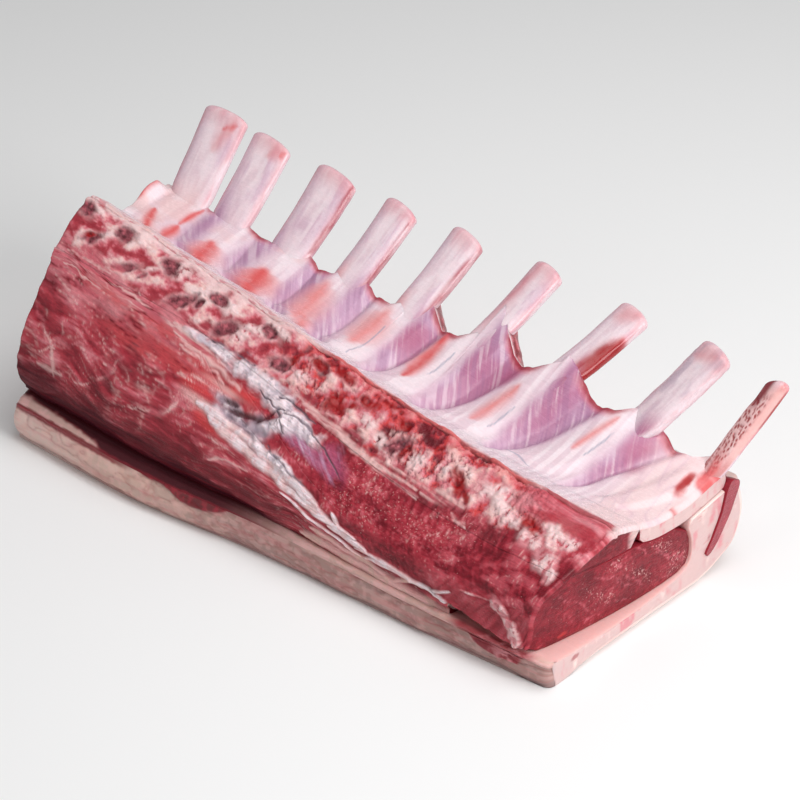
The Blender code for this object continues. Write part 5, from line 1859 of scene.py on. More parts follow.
@dataclass(frozen=True)
class Rib:
    """One frenched rib bone, from under the membrane out to its rounded tip."""

    number: int

    @property
    def row(self) -> tuple[float, ...]:
        """Root x, edge x, tip and width."""
        return RIBS[self.number - 1]

    def path(self) -> Array:
        """Key points of the centre line, in rack millimetres."""
        root, edge, *tip = self.row[:5]
        shares = np.array(RIB_UNDER)
        x = np.interp(shares, (RIB_UNDER[0], RIB_UNDER[-1]), (root, edge))
        section = SHAPE.inner(x, shares)
        under = np.column_stack([x, section[:, 0], section[:, 1] + RIB_PROUD - RIB_THICKNESS / 2])
        middle = (under[-1] + tip) / 2 - (0, 0, RIB_SAG)
        return np.vstack([under, middle, tip])

    def build(self, name: str, material: bpy.types.Material) -> bpy.types.Object:
        """Mesh of the rib: a squarish ellipse carried along the path, closed at both ends.

        Args:
            name: Name of the piece.
            material: Material of the piece.

        Returns:
            The piece.
        """
        t, at, length, centre = self._rings()
        forward = gradient(centre, 0)
        back = np.cross(np.cross(forward, (0, 0, 1)), forward)
        back /= np.linalg.norm(back, axis=1)[:, None]
        side = np.cross(forward, back)
        angle = np.linspace(0, 2 * math.pi, RIB_ANGLES, endpoint=False)
        across, up = (np.sign(wave) * np.abs(wave) ** power
                      for wave, power in zip((np.cos(angle), np.sin(angle)), RIB_SQUARENESS))
        size, width, height = self._sizes(t, at, length)
        away = across[None, :, None] * width[:, None, None] * side[:, None]
        away = away + up[None, :, None] * height[:, None, None] * back[:, None]
        grid_t, grid_w, grid_up = np.broadcast_arrays(t[:, None], across[None], up[None])
        coat = self.coat(grid_t, grid_w, grid_up, length)
        self._bury(coat, grid_t, grid_w, grid_up, centre[:, None, 0] + away[..., 0], away[..., 1])
        outward = away / np.maximum(np.linalg.norm(away, axis=-1, keepdims=True), 1e-6)
        points = centre[:, None] + away + outward * (coat.relief * size[:, None])[..., None]
        skew = -TIP_SKEW[self.number - 1] * np.clip((t - 0.8) / 0.2, 0, 1) ** 2 * size
        points = points + forward[:, None] * (skew[:, None] * across)[..., None]
        placed = place(points[..., 0], points[..., 1:])
        flow = joined(grid_w * 9, grid_t * length, grid_up * 4) * MM
        maker = MeshMaker()
        numbers = maker.add(Patch(placed, coat, flow))
        maker.quads(numbers, closed=True)
        for row, flip in ((0, True), (-1, False)):
            middle = [values[row].mean(axis=0)[None, None]
                      for values in (placed, coat.colour, coat.rough, flow)]
            none = np.zeros((1, 1))
            pole = Patch(middle[0], Coat(middle[1], middle[2], none, none), middle[3])
            maker.fan(numbers[row], int(maker.add(pole)[0, 0]), flip=flip)
        return maker.build(name, material)

    def _rings(self) -> tuple[Array, Array, float, Array]:
        """Share of the path, distance along it, whole length and centre of every ring."""
        path = self.path()
        t = np.linspace(0, 1, PATH_SAMPLES)
        lengths = lengths_along(at_share(np.broadcast_to(path, (len(t), *path.shape)), t))
        length = lengths[-1]
        spaced = np.linspace(END_CLEARANCE, length - END_CLEARANCE, int(length / RIB_STEP))
        at = np.sort(np.concatenate([spaced, length - TIP_ROUNDING * TIP_RINGS**1.4]))
        t = np.interp(at, lengths, t)
        return t, at, length, at_share(np.broadcast_to(path, (len(t), *path.shape)), t)

    def _sizes(self, t: Array, at: Array, length: float) -> tuple[Array, Array, Array]:
        """Size from 0 at the closed ends to 1, half width and half height of every ring.

        Args:
            t: Share of the length of the rib.
            at: Distance from the root of every ring.
            length: Length of the rib.

        Returns:
            Size, half width and half height.
        """
        to_tip = np.clip((length - at) / TIP_ROUNDING, 0, 1)
        to_root = np.clip(at / ROOT_ROUNDING, 0, 1)
        size = (1 - (1 - to_tip) ** 2.4) ** (1 / 2.2) * (1 - (1 - to_root) ** 2) ** 0.5
        flare = RIB_NECK + RIB_FLARE * (2 * t - 1) ** 2
        buried = 1 - RIB_TAPER[self.number - 1] * step(0.68, 0.52, t)
        half = self.row[5] / 2 * (SPONGY_WIDTH if self.number == SPONGY_RIB else 1)
        return size, half * flare * size * buried, RIB_THICKNESS / 2 * size * buried

    def _bury(self, coat: Coat, t: Array, w: Array, up: Array, x: Array, outwards: Array) -> None:
        """Carry the membrane's colour onto the rib where the rib comes out of it.

        Args:
            coat: Paint of the rib, changed in place.
            t: Shares of the path.
            w: Places across it, from -1 to 1.
            up: Places round it, 1 on the back.
            x: Places along the chine.
            outwards: Distance outwards from the centre line, in millimetres.
        """
        share = np.interp(t, RIB_COVER_T, RIB_COVER_SHARE) + outwards / EDGE_SPAN
        membrane = INNER_SIDE.coat(x, np.minimum(share, RIB_COVER_END))
        mask = step(0.76, 0.60, t) * step(0.0, 0.55, up) * step(1.0, 0.7, np.abs(w))
        coat.colour += (membrane.colour - coat.colour) * mask[..., None]

    def coat(self, t: Array, w: Array, up: Array, length: float) -> Coat:
        """Paint of the bone: pale streaks, red marks, a painted highlight stripe, painted shade on
        its left side, a pinker tip and flesh at the edges.

        Args:
            t: Shares of the path.
            w: Places across the bone, from -1 to 1.
            up: Places round it, 1 on the back.
            length: Length of the path in millimetres.

        Returns:
            Paint and relief of every point.
        """
        half = self.row[5] / 2
        along_it, across = t * length, w * half
        seed = self.number * 13.7
        plane = joined(across, along_it * 0.16, up * 3 + seed)
        streak = NOISE.fractal(plane * 0.8, 3, 0.7)
        soft = NOISE.fractal(joined(across / 5, along_it / 12, up + seed), 3)
        coat = Coat.plain(t.shape, Tint.RIB, 0.27)
        coat.lay(Tint.RIB_SHADE, 0.40 * step(0.48, 0.66, streak))
        coat.lay(Tint.LILAC, 0.40 * step(0.48, 0.68, soft))
        # Lilac on the left side: painted shade.
        coat.lay(Tint.LILAC, 0.35 * step(-0.30, -0.80, w))
        # Whitish stripe right of the middle: painted highlight.
        light = step(0.55, 0.05, np.abs(w - 0.12 - 0.5 * (soft - 0.5)))
        coat.lay(Tint.MEMBRANE, 0.70 * light * step(0.62, 0.44, streak))
        coat.lay(Tint.ROSE,
                 0.50 * step(0.66, 0.98, np.abs(w)) * step(-0.4, 0.2, up) * step(0.34, 0.56, soft))
        tip = step(0.90, 0.985, t + 0.05 * (soft - 0.5))
        coat.lay(Tint.ROSE, 0.38 * tip)
        coat.lay(Tint.SALMON, 0.12 * tip * step(0.44, 0.62, soft))
        under = step(0.1, -0.5, up)
        coat.lay(Tint.RIB_SHADE, 0.6 * under)
        coat.lay(Tint.LEAN_PINK, 0.45 * under * step(0.52, 0.66, streak))
        root = step(0.62, 0.54, t) * under
        coat.lay(Tint.LEAN, 0.7 * root)
        on_back = step(-0.25, 0.05, up)
        marks = Sheet(along_it, across, np.full_like(t, half))
        for kind, t0, w0, t1, w1, width in RIB_MARKS[self.number]:
            row = ((t0 * length, w0, t1 * length, w1, 0.0, width),)
            mask = marks.strokes(row, 1.3, 1.2,
                                 0.25) * (on_back if w0 < 0.9 else step(-0.95, -0.6, up))
            strength = 0.9 if kind == "BLOOD" else 0.40 + 0.35 * step(0.35, 0.6, soft)
            coat.lay(Tint[kind], mask * strength, 0.25)
        if self.number == SPONGY_RIB:
            self._sponge(coat, marks, t, w, on_back)
        if self.number == SKINNED_RIB:
            coat.lay(Tint.SILVER, 0.45 * step(0.50, 0.64, soft) * step(0.5, 0.6, t))
            coat.relief += 1.6 * (streak - 0.5) * np.abs(w) ** 3 * step(0.55, 0.65, t)
        coat.relief += (0.55 * (soft - 0.5) + 0.12 * (streak - 0.5)) * step(0.60, 0.72, t)
        return coat

    def _sponge(self, coat: Coat, marks: Sheet, t: Array, w: Array, on_back: Array) -> None:
        """Sawn spongy face: pink bone with dark pores, a paler border and a dark tip.

        Args:
            coat: Coat to paint on.
            marks: Coordinates for its marks.
            t: Share of the length of the rib.
            w: Place across the rib, from -1 to 1.
            on_back: Cover of the back of the rib.
        """
        face = step(0.50, 0.58, t) * step(0.99, 0.95, t) * on_back
        apart, _ = NOISE.cells(joined(marks.x * 0.66, marks.w * 0.85))
        coat.lay(Tint.FAT_PINK, 0.75 * face)
        pores = step(0.42, 0.28, apart) * step(0.85, 0.60, np.abs(w)) * step(0.96, 0.90, t)
        coat.lay(Tint.BLOOD, 0.85 * face * pores, 0.3, -0.3)
        coat.lay(Tint.FAT_PINK, 0.7 * face * step(0.66, 0.9, np.abs(w)))
        coat.lay(Tint.LEAN_DARK, 0.9 * step(0.86, 0.92, t) * step(0.35, -0.25, w) * on_back, 0.25,
                 -0.6)
        coat.lay(Tint.LEAN_BRIGHT, 0.5 * face * step(0.62, 0.95, w) * step(0.74, 0.66, t))


# ---- shader groups -----------------------------------------------------------------------
Socket = bpy.types.NodeSocket
FLECK_SCALE = 1150
FLECK_SPREAD = -0.26
FLECK_LIMIT = 0.72
FLECK_CONTRAST = 11.0
FLECK_COVER = 0.60
GRAIN_SCALES = ((2600, 2), (700, 3))
FIBRE_SCALE = 1500
FIBRE_STRETCH = (0.10, 1.0, 0.6)
# The wet film thins out as the painted roughness rises.
FILM_SLOPE = -2.2
FILM_FULL = 1.76
UNEVEN_ROUGHNESS = 0.12


class Group:
    """Node group under construction, with helpers to add and join nodes."""

    def __init__(self, name: str, inputs: tuple[tuple[str, str, float | None], ...],
                 outputs: tuple[tuple[str, str], ...]) -> None:
        """Create the group and its sockets.

        Args:
            name: Name of the group.
            inputs: Name, socket kind and default of each input.
            outputs: Name and socket kind of each output.
        """
        self.tree = bpy.data.node_groups.new(name, "ShaderNodeTree")
        for label, kind, default in inputs:
            socket = self.tree.interface.new_socket(label, in_out="INPUT", socket_type=kind)
            if default is not None:
                socket.default_value = default
        for label, kind in outputs:
            self.tree.interface.new_socket(label, in_out="OUTPUT", socket_type=kind)
        self.entry = self.tree.nodes.new("NodeGroupInput").outputs
        self.exit = self.tree.nodes.new("NodeGroupOutput").inputs

    def node(self, kind: str, **settings: object) -> bpy.types.Node:
        """New node with its properties set."""
        return add_node(self.tree, kind, **settings)

    def link(self, source: Socket, target: Socket) -> None:
        """Join an output to an input."""
        self.tree.links.new(source, target)

    def maths(self, operation: str, *values: object, clamp: bool = False) -> Socket:
        """Math node over sockets or numbers; returns its output."""
        return add_maths(self.tree, operation, *values, clamp=clamp)

    def noise(self, vector: Socket, scale: float, detail: float, rough: float) -> Socket:
        """Noise texture over a vector; returns its value.

        Args:
            vector: Coordinates to look up.
            scale: Fineness of the noise.
            detail: Number of octaves.
            rough: Strength of the finer octaves.

        Returns:
            Value of the texture.
        """
        node = self.node("ShaderNodeTexNoise")
        self.link(vector, node.inputs["Vector"])
        set_inputs(node, {"Scale": scale, "Detail": detail, "Roughness": rough})
        return node.outputs["Fac"]


def add_node(tree: bpy.types.NodeTree, kind: str, **settings: object) -> bpy.types.Node:
    """New node of a tree with its properties set.

    Args:
        tree: Tree that gets the node.
        kind: Type name of the node.
        settings: Properties to set on it.

    Returns:
        The node.
    """
    node = tree.nodes.new(kind)
    for key, value in settings.items():
        setattr(node, key, value)
    return node


def set_inputs(node: bpy.types.Node, values: dict[str, object]) -> None:
    """Set inputs of a node by name."""
    for label, value in values.items():
        node.inputs[label].default_value = value


def add_maths(tree: bpy.types.NodeTree, operation: str, *values: object,
              clamp: bool = False) -> Socket:
    """Math node of a tree over sockets or numbers; returns its output.

    Args:
        tree: Tree that gets the node.
        operation: Name of the operation.
        clamp: Whether the value is kept between 0 and 1.
        values: Sockets or numbers, in order.

    Returns:
        Output of the node.
    """
    node = add_node(tree, "ShaderNodeMath", operation=operation, use_clamp=clamp)
    for value, socket in zip(values, node.inputs):
        if isinstance(value, Socket):
            tree.links.new(value, socket)
        else:
            socket.default_value = value
    return node.outputs[0]


def fleck_group() -> bpy.types.NodeTree:
    """Tiny pale flecks (specks of fat, partly painted glints): peaks of a fine noise, more of them
    where the density is higher.
    """
    group = Group("tissue_flecks",
                  (("Position", "NodeSocketVector", None), ("Density", "NodeSocketFloat", 0.0)),
                  (("Value", "NodeSocketFloat"),))
    peaks = group.noise(group.entry["Position"], FLECK_SCALE, 3, 0.6)
    limit = group.maths("MULTIPLY_ADD", group.entry["Density"], FLECK_SPREAD, FLECK_LIMIT)
    above = group.maths("SUBTRACT", peaks, limit)
    group.link(group.maths("MULTIPLY", above, FLECK_CONTRAST, clamp=True), group.exit["Value"])
    return group.tree


def grain_group() -> bpy.types.NodeTree:
    """Fine grain from a position: two sizes of noise as one value and one height."""
    group = Group("tissue_grain", (("Position", "NodeSocketVector", None),),
                  (("Value", "NodeSocketFloat"), ("Height", "NodeSocketFloat")))
    fine, coarse = (group.noise(group.entry["Position"], scale, detail, 0.6) for scale,
                    detail in GRAIN_SCALES)
    both = group.maths("MULTIPLY_ADD", fine, 0.5, group.maths("MULTIPLY", coarse, 0.5))
    group.link(both, group.exit["Value"])
    group.link(both, group.exit["Height"])
    return group.tree


def fibre_group() -> bpy.types.NodeTree:
    """Fibres from flow coordinates: noise stretched along the first coordinate."""
    group = Group("tissue_fibres", (("Flow", "NodeSocketVector", None),),
                  (("Value", "NodeSocketFloat"),))
    mapping = group.node("ShaderNodeMapping")
    mapping.inputs["Scale"].default_value = FIBRE_STRETCH
    group.link(group.entry["Flow"], mapping.inputs["Vector"])
    group.link(group.noise(mapping.outputs[0], FIBRE_SCALE, 3, 0.65), group.exit["Value"])
    return group.tree


@dataclass(frozen=True)
class Finish:
    """Look of one kind of tissue, over the colours painted on its points.

    Args:
        name: Name of the material.
        grain: How far fine grain lightens and darkens the colour.
        fibre: How far fibres do.
        bump: Height of grain and fibres, in millimetres.
        subsurface: Subsurface weight.
        radius: Subsurface radius in millimetres for red, green and blue.
        coat: Weight of the wet film.
        coat_rough: Roughness of that film.
        specular: Specular level under the film.
    """

    name: str
    grain: float = 0.25
    fibre: float = 0.2
    bump: float = 0.12
    subsurface: float = 0.12
    radius: tuple[float, float, float] = (2.4, 0.7, 0.5)
    coat: float = 0.16
    coat_rough: float = 0.16
    specular: float = 0.3

    def material(self, groups: dict[str, bpy.types.NodeTree]) -> bpy.types.Material:
        """Material with the shared groups.

        Args:
            groups: Grain and fibre groups.

        Returns:
            Material that reads the points' colour, roughness and flow.
        """
        material = bpy.data.materials.new(self.name)
        material.use_nodes = True
        tree = material.node_tree
        link = tree.links.new
        shader = tree.nodes["Principled BSDF"]
        set_inputs(shader, {"Metallic": 0, "Specular IOR Level": self.specular,
                            "Subsurface Weight": self.subsurface, "Subsurface Radius": self.radius,
                            "Subsurface Scale": MM, "Coat Roughness": self.coat_rough})
        tint, rough, flow, density = (add_node(tree, "ShaderNodeAttribute", attribute_name=name)
                                      for name in ("tint", "rough", "flow", "fleck"))
        position = add_node(tree, "ShaderNodeTexCoord").outputs["Object"]
        grain, fibre, fleck = (add_node(tree, "ShaderNodeGroup", node_tree=groups[name])
                               for name in ("grain", "fibre", "fleck"))
        link(position, grain.inputs["Position"])
        link(flow.outputs["Vector"], fibre.inputs["Flow"])
        link(position, fleck.inputs["Position"])
        link(density.outputs["Fac"], fleck.inputs["Density"])

        by_grain, by_fibre = (
            add_maths(tree, "MULTIPLY_ADD", group.outputs["Value"], 2 * share, 1 - share)
            for group, share in ((grain, self.grain), (fibre, self.fibre)))
        scaled = add_node(tree, "ShaderNodeVectorMath", operation="SCALE")
        link(tint.outputs["Color"], scaled.inputs[0])
        link(add_maths(tree, "MULTIPLY", by_grain, by_fibre), scaled.inputs["Scale"])
        mix = add_node(tree, "ShaderNodeMix", data_type="RGBA")
        # Pale flecks: specks of fat, and on the eye's granular side partly painted glints.
        link(add_maths(tree, "MULTIPLY", fleck.outputs["Value"], FLECK_COVER), mix.inputs["Factor"])
        link(scaled.outputs[0], mix.inputs["A"])
        mix.inputs["B"].default_value = (*Tint.FAT_PINK.linear, 1)
        link(mix.outputs["Result"], shader.inputs["Base Color"])

        film = add_maths(tree, "MULTIPLY_ADD", rough.outputs["Fac"], FILM_SLOPE, FILM_FULL,
                         clamp=True)
        link(add_maths(tree, "MULTIPLY", film, self.coat), shader.inputs["Coat Weight"])
        uneven = add_maths(tree, "MULTIPLY_ADD", grain.outputs["Value"], 2 * UNEVEN_ROUGHNESS,
                           -UNEVEN_ROUGHNESS)
        link(add_maths(tree, "ADD", rough.outputs["Fac"], uneven), shader.inputs["Roughness"])
        bump = add_node(tree, "ShaderNodeBump")
        set_inputs(bump, {"Strength": 1.0, "Distance": self.bump * MM})
        link(add_maths(tree, "ADD", grain.outputs["Height"], fibre.outputs["Value"]),
             bump.inputs["Height"])
        link(bump.outputs["Normal"], shader.inputs["Normal"])
        return material


LEAN = Finish("lean", grain=0.30, fibre=0.34, bump=0.34, subsurface=0.10, coat=0.22, specular=0.14)
SAWN = Finish("sawn_bone", grain=0.35, fibre=0.05, bump=0.45, coat=0.15, coat_rough=0.25)
FAT = Finish("fat", grain=0.08, fibre=0.04, bump=0.16, subsurface=0.25, radius=(2.6, 1.4, 1.1),
             coat=0.12, coat_rough=0.3)
MEMBRANE = Finish("membrane", grain=0.07, fibre=0.10, bump=0.14, subsurface=0.2,
                  radius=(2.0, 1.2, 1.2), coat=0.25)
BONE = Finish("bone", grain=0.05, fibre=0.08, bump=0.10, subsurface=0.2, radius=(1.8, 1.1, 1.1),
              coat=0.25)


# ---- pieces ------------------------------------------------------------------------------
FACE_SIDE = ChineFace()
INNER_SIDE = InnerSide()
FAT_SIDE = FatSide()


# Radii of the rounded rims of the cut ends, in millimetres.
MEAT_RIM = 1.2
INNER_RIM = 0.3
JOINT_RIM = 0.1
LOIN_RIM = 2.0
PLATE_RIM = 1.0
CAP_RIM = 0.4
FAT_RIM = 3.6
# The y from which the loin cut of the chine shows pale tissue.
LOIN_TISSUE_Y = 48.0
# How far the cap muscle stands out of the fat at its shoulder and loin ends.
CAP_PROUD = (0.4, 1.1)


def bone_edge(x: Array) -> Array:
    """Share of the face where the bone starts."""
    return along(BONE_EDGE, x)


def on_bottom(x: Array) -> Array:
    """Share of the meat's bottom where the seam starts."""
    return along(SEAM_ON_BOTTOM, x)


def past_seam(x: Array) -> Array:
    """Share of the meat's bottom where the seam ends."""
    return on_bottom(x) + SEAM_BOTTOM_WIDTH


@dataclass(frozen=True)
class Meat:
    """The lean pieces and the seam on the chine side."""

    count: int = 430
    pitch: float = 0.6

    def shoulder(self) -> Tube:
        """Shoulder muscle between the fat, the seam and the bone."""
        runs = (Run(SHAPE.meat_bottom, 0, on_bottom, 10),
                Run(SHAPE.seam_low, 1, 0, 10),
                Run(SHAPE.face, seam_low, 0, 84, FACE_SIDE.coat))
        return Tube(runs, ((0, 0.0), (1, 0.0), (2, 0.0), (2, 0.55)), SHOULDER_END, SEAM_END,
                    self.count,
                    (Cut(MEAT_RIM, CutFace(Tint.LEAN, 3.0), self.pitch),
                     Cut(INNER_RIM, CutFace(Tint.LEAN, 4.0))),
                    Tint.LEAN)

    def seam(self) -> Tube:
        """Pale seam between the shoulder muscle and the eye."""
        runs = (Run(SHAPE.meat_bottom, on_bottom, past_seam, 2),
                Run(SHAPE.seam_high, 1, 0, 10),
                Run(SHAPE.face, seam_high, seam_low, 14, FACE_SIDE.coat),
                Run(SHAPE.seam_low, 0, 1, 10))
        return Tube(runs, ((0, 0.0), (1, 0.0), (2, 0.0), (3, 0.0)), SHOULDER_END, SEAM_END,
                    self.count,
                    (Cut(INNER_RIM, CutFace(Tint.FAT, 5.0)),
                     Cut(INNER_RIM, CutFace(Tint.FAT, 6.0))), Tint.FAT)

    def eye(self) -> Tube:
        """Eye of the loin, from the chine side to under the ribs."""
        runs = (Run(SHAPE.meat_bottom, past_seam, 1, 14),
                Run(SHAPE.under, PLATE_OUTER, CHINE_INNER, 5),
                Run(SHAPE.under_bone, 1, 0, 6),
                Run(SHAPE.face, bone_edge, seam_high, 76, FACE_SIDE.coat),
                Run(SHAPE.seam_high, 0, 1, 8))
        return Tube(runs, ((0, 0.0), (0, 0.80), (1, 0.0), (3, 0.0)), SHOULDER_END, CHINE_LENGTH - 1,
                    self.count,
                    (Cut(INNER_RIM, CutFace(Tint.LEAN, 7.0)),
                     Cut(LOIN_RIM, CutFace(Tint.LEAN, 8.0), 0.55, 0.6)),
                    Tint.LEAN, LOIN_SET_BACK)


@dataclass(frozen=True)
class Chine:
    """The sawn chine edge: bone, then a strip of muscle at the loin end."""

    pitch: float = 0.5

    def tube(self, start: float, end: float, inside: Tint, set_back: float = 0.0) -> Tube:
        """Strip of the chine.

        Args:
            start: Place of its shoulder end.
            end: Place of its loin end.
            inside: Tint of the hidden sides.
            set_back: How far the loin end lies behind at the chine side.

        Returns:
            The closed strip.
        """
        runs = (Run(SHAPE.under_bone, 0, 1, 8),
                Run(SHAPE.inner, CHINE_INNER, 0, 44, INNER_SIDE.coat),
                Run(SHAPE.face, 1, bone_edge, 52, FACE_SIDE.coat))
        cuts = (Cut(MEAT_RIM if start == SHOULDER_END else JOINT_RIM, CutFace(Tint.BONE, 9.0), 0.6),
                Cut(LOIN_RIM if set_back else JOINT_RIM, CutFace(Tint.LEAN, 10.0, LOIN_TISSUE_Y),
                    0.6))
        return Tube(runs, ((0, 0.0), (1, 0.0), (1, 0.75), (2, 0.15)), start, end,
                    max(int((end - start) / self.pitch), 8), cuts, inside, set_back)


# Share of the lip that is dark (wet meat and painted shade of the groove), at places along the
# chine.
WET_X = (0, 20, 40, 58)
WET_SHARE = (0.10, 0.22, 0.45, 1.6)


@dataclass(frozen=True)
class Fat:
    """The slab of fat under the meat and the cap muscle inside it."""

    count: int = 330

    def groove(self, x: Array, share: Array) -> Array:
        """Lip of the ledge, from the meat down to the fat's outside."""
        start, end = SHAPE.face(x, share * 0), SHAPE.skin(x, share * 0)
        return start + (end - start) * share[..., None]

    def wet_lip(self, x: Array, share: Array) -> Coat:
        """Dark groove of wet meat and painted shade, then the pale lip of the ledge.

        Args:
            x: Places along the chine in millimetres.
            share: Share of the curve, from 0 to 1.

        Returns:
            The painted coat.
        """
        fine = NOISE.fractal(joined(x / 3, share * 2, 0), 3)
        coat = Coat.plain(x.shape, Tint.FAT_PINK, 0.35)
        coat.lay(Tint.FAT_DULL, 0.6 * step(0.40, 0.60, fine))
        wet = step(150, 100, x)
        dark = np.interp(x, WET_X, WET_SHARE) + 0.25 * (fine - 0.5)
        # Dark red and maroon band of the groove: wet dark meat, and painted shade under the meat.
        coat.lay(Tint.LEAN_DARK, 0.9 * wet * step(0.22, 0.0, share - dark), 0.6)
        coat.lay(Tint.MAROON, 0.9 * wet * step(0.06, -0.10, share - dark), 0.7)
        coat.lay(Tint.LEAN_DARK, 0.9 * wet * step(0.80, 0.90, share + 0.16 * (fine - 0.5)), 0.4)
        flap = step(214, 222, x) * step(256, 250, x)
        coat.lay(Tint.LEAN, 0.9 * flap)
        coat.lay(Tint.ROSE, 0.8 * flap * step(0.44, 0.60, fine) * step(228, 238, x))
        swollen = 1.2 * step(140, 160, x) * np.sin(share * math.pi)
        coat.relief += swollen - 1.0 * wet * step(0.45, 0.05, share)
        torn = (1.8 + 1.6 * (fine - 0.5)) * step(206, 214, x) * step(258, 246, x)
        coat.relief += torn * step(1.0, 0.3, share)
        return coat

    def bed(self, x: Array, share: Array) -> Coat:
        """Top of the fat under the meat: dark (wet meat and painted shade in the gap under it),
        pale towards the loin end.

        Args:
            x: Places along the chine in millimetres.
            share: Share of the curve, from 0 to 1.

        Returns:
            The painted coat.
        """
        coat = Coat.plain(x.shape, Tint.FAT_PINK, 0.5)
        # Deep red in the gap under the meat: painted shade, with wet meat.
        coat.lay(Tint.LEAN_DEEP, step(215, 150, x), 0.7)
        return coat

    def slab(self) -> Tube:
        """Slab of fat, turned up along the outer side."""
        runs = (Run(SHAPE.skin, 0, 0.24, 54, FAT_SIDE.coat),
                Run(SHAPE.skin, 0.24, 0.60, 12, FAT_SIDE.coat),
                Run(SHAPE.skin, 0.60, 1, 84, FAT_SIDE.coat),
                Run(SHAPE.under, 1, PLATE_OUTER, 4),
                Run(SHAPE.meat_bottom, 1, 0, 24, lining=self.bed),
                Run(self.groove, 0, 1, 14, self.wet_lip))
        return Tube(runs, ((0, 0.0), (3, 0.0), (4, 0.0), (5, 0.0)), SHOULDER_END, CHINE_LENGTH,
                    self.count,
                    (Cut(FAT_RIM, CutFace(Tint.FAT, 11.0), 0.8),
                     Cut(FAT_RIM, CutFace(Tint.FAT, 12.0), 0.7, 0.4)),
                    Tint.FAT)

    def _sheet(self, x: Array, share: Array, side: float) -> Array:
        """One side of the thin cap muscle: its centre line moved by half the thickness.

        Args:
            x: Places along the chine in millimetres.
            share: Share of the curve, from 0 to 1.
            side: Side of the centre line, -1 or 1.

        Returns:
            Points of the surface, y and z.
        """
        start = np.interp(x, CAP_START_X, CAP_START) - 0.010 * (x < 100) + 0.035 * step(4, -2, x)
        on_line = start + (1 + 0.10 * step(235, 262, x) - start) * share
        keys = along(CAP_KEYS, x)
        centre = at_share(keys, on_line)
        ahead = at_share(keys, on_line + 0.01) - at_share(keys, on_line - 0.01)
        ahead /= np.linalg.norm(ahead, axis=-1, keepdims=True)
        normal = joined(ahead[..., 1], -ahead[..., 0])
        half = along(CAP_THICKNESS, x) / 2 * np.sqrt(np.maximum(1 - (2 * share - 1) ** 8, 0))
        half = half * (1 + step(235, 262, x) * (0.85 * share - 0.25))
        return centre + normal * (side * half)[..., None]

    def lower(self, x: Array, share: Array) -> Array:
        """Outer side of the cap muscle."""
        return self._sheet(x, share, 1.0)

    def upper(self, x: Array, share: Array) -> Array:
        """Inner side of the cap muscle."""
        return self._sheet(x, share, -1.0)

    def muscle(self) -> Tube:
        """Thin cap muscle along the whole length."""
        runs = (Run(self.lower, 0, 1, 60), Run(self.upper, 1, 0, 60))
        return Tube(runs, ((0, 0.0), (0, 1.0), (1, 0.0), (1, 1.0)), SHOULDER_END - CAP_PROUD[0],
                    CHINE_LENGTH + CAP_PROUD[1], 90,
                    (Cut(CAP_RIM, CutFace(Tint.LEAN, 13.0), 0.6),
                     Cut(CAP_RIM, CutFace(Tint.LEAN_PINK, 14.0), 0.45)),
                    Tint.LEAN)


# Notch walls that lean out: how far, and its share at places along the chine.
WALL_LEAN = 0.085
WALL_X = (112, 118, 127, 138, 146, 152, 161, 174)
WALL_SHARE = (0, 1, 0.8, 0, 0, 1, 0.8, 0)


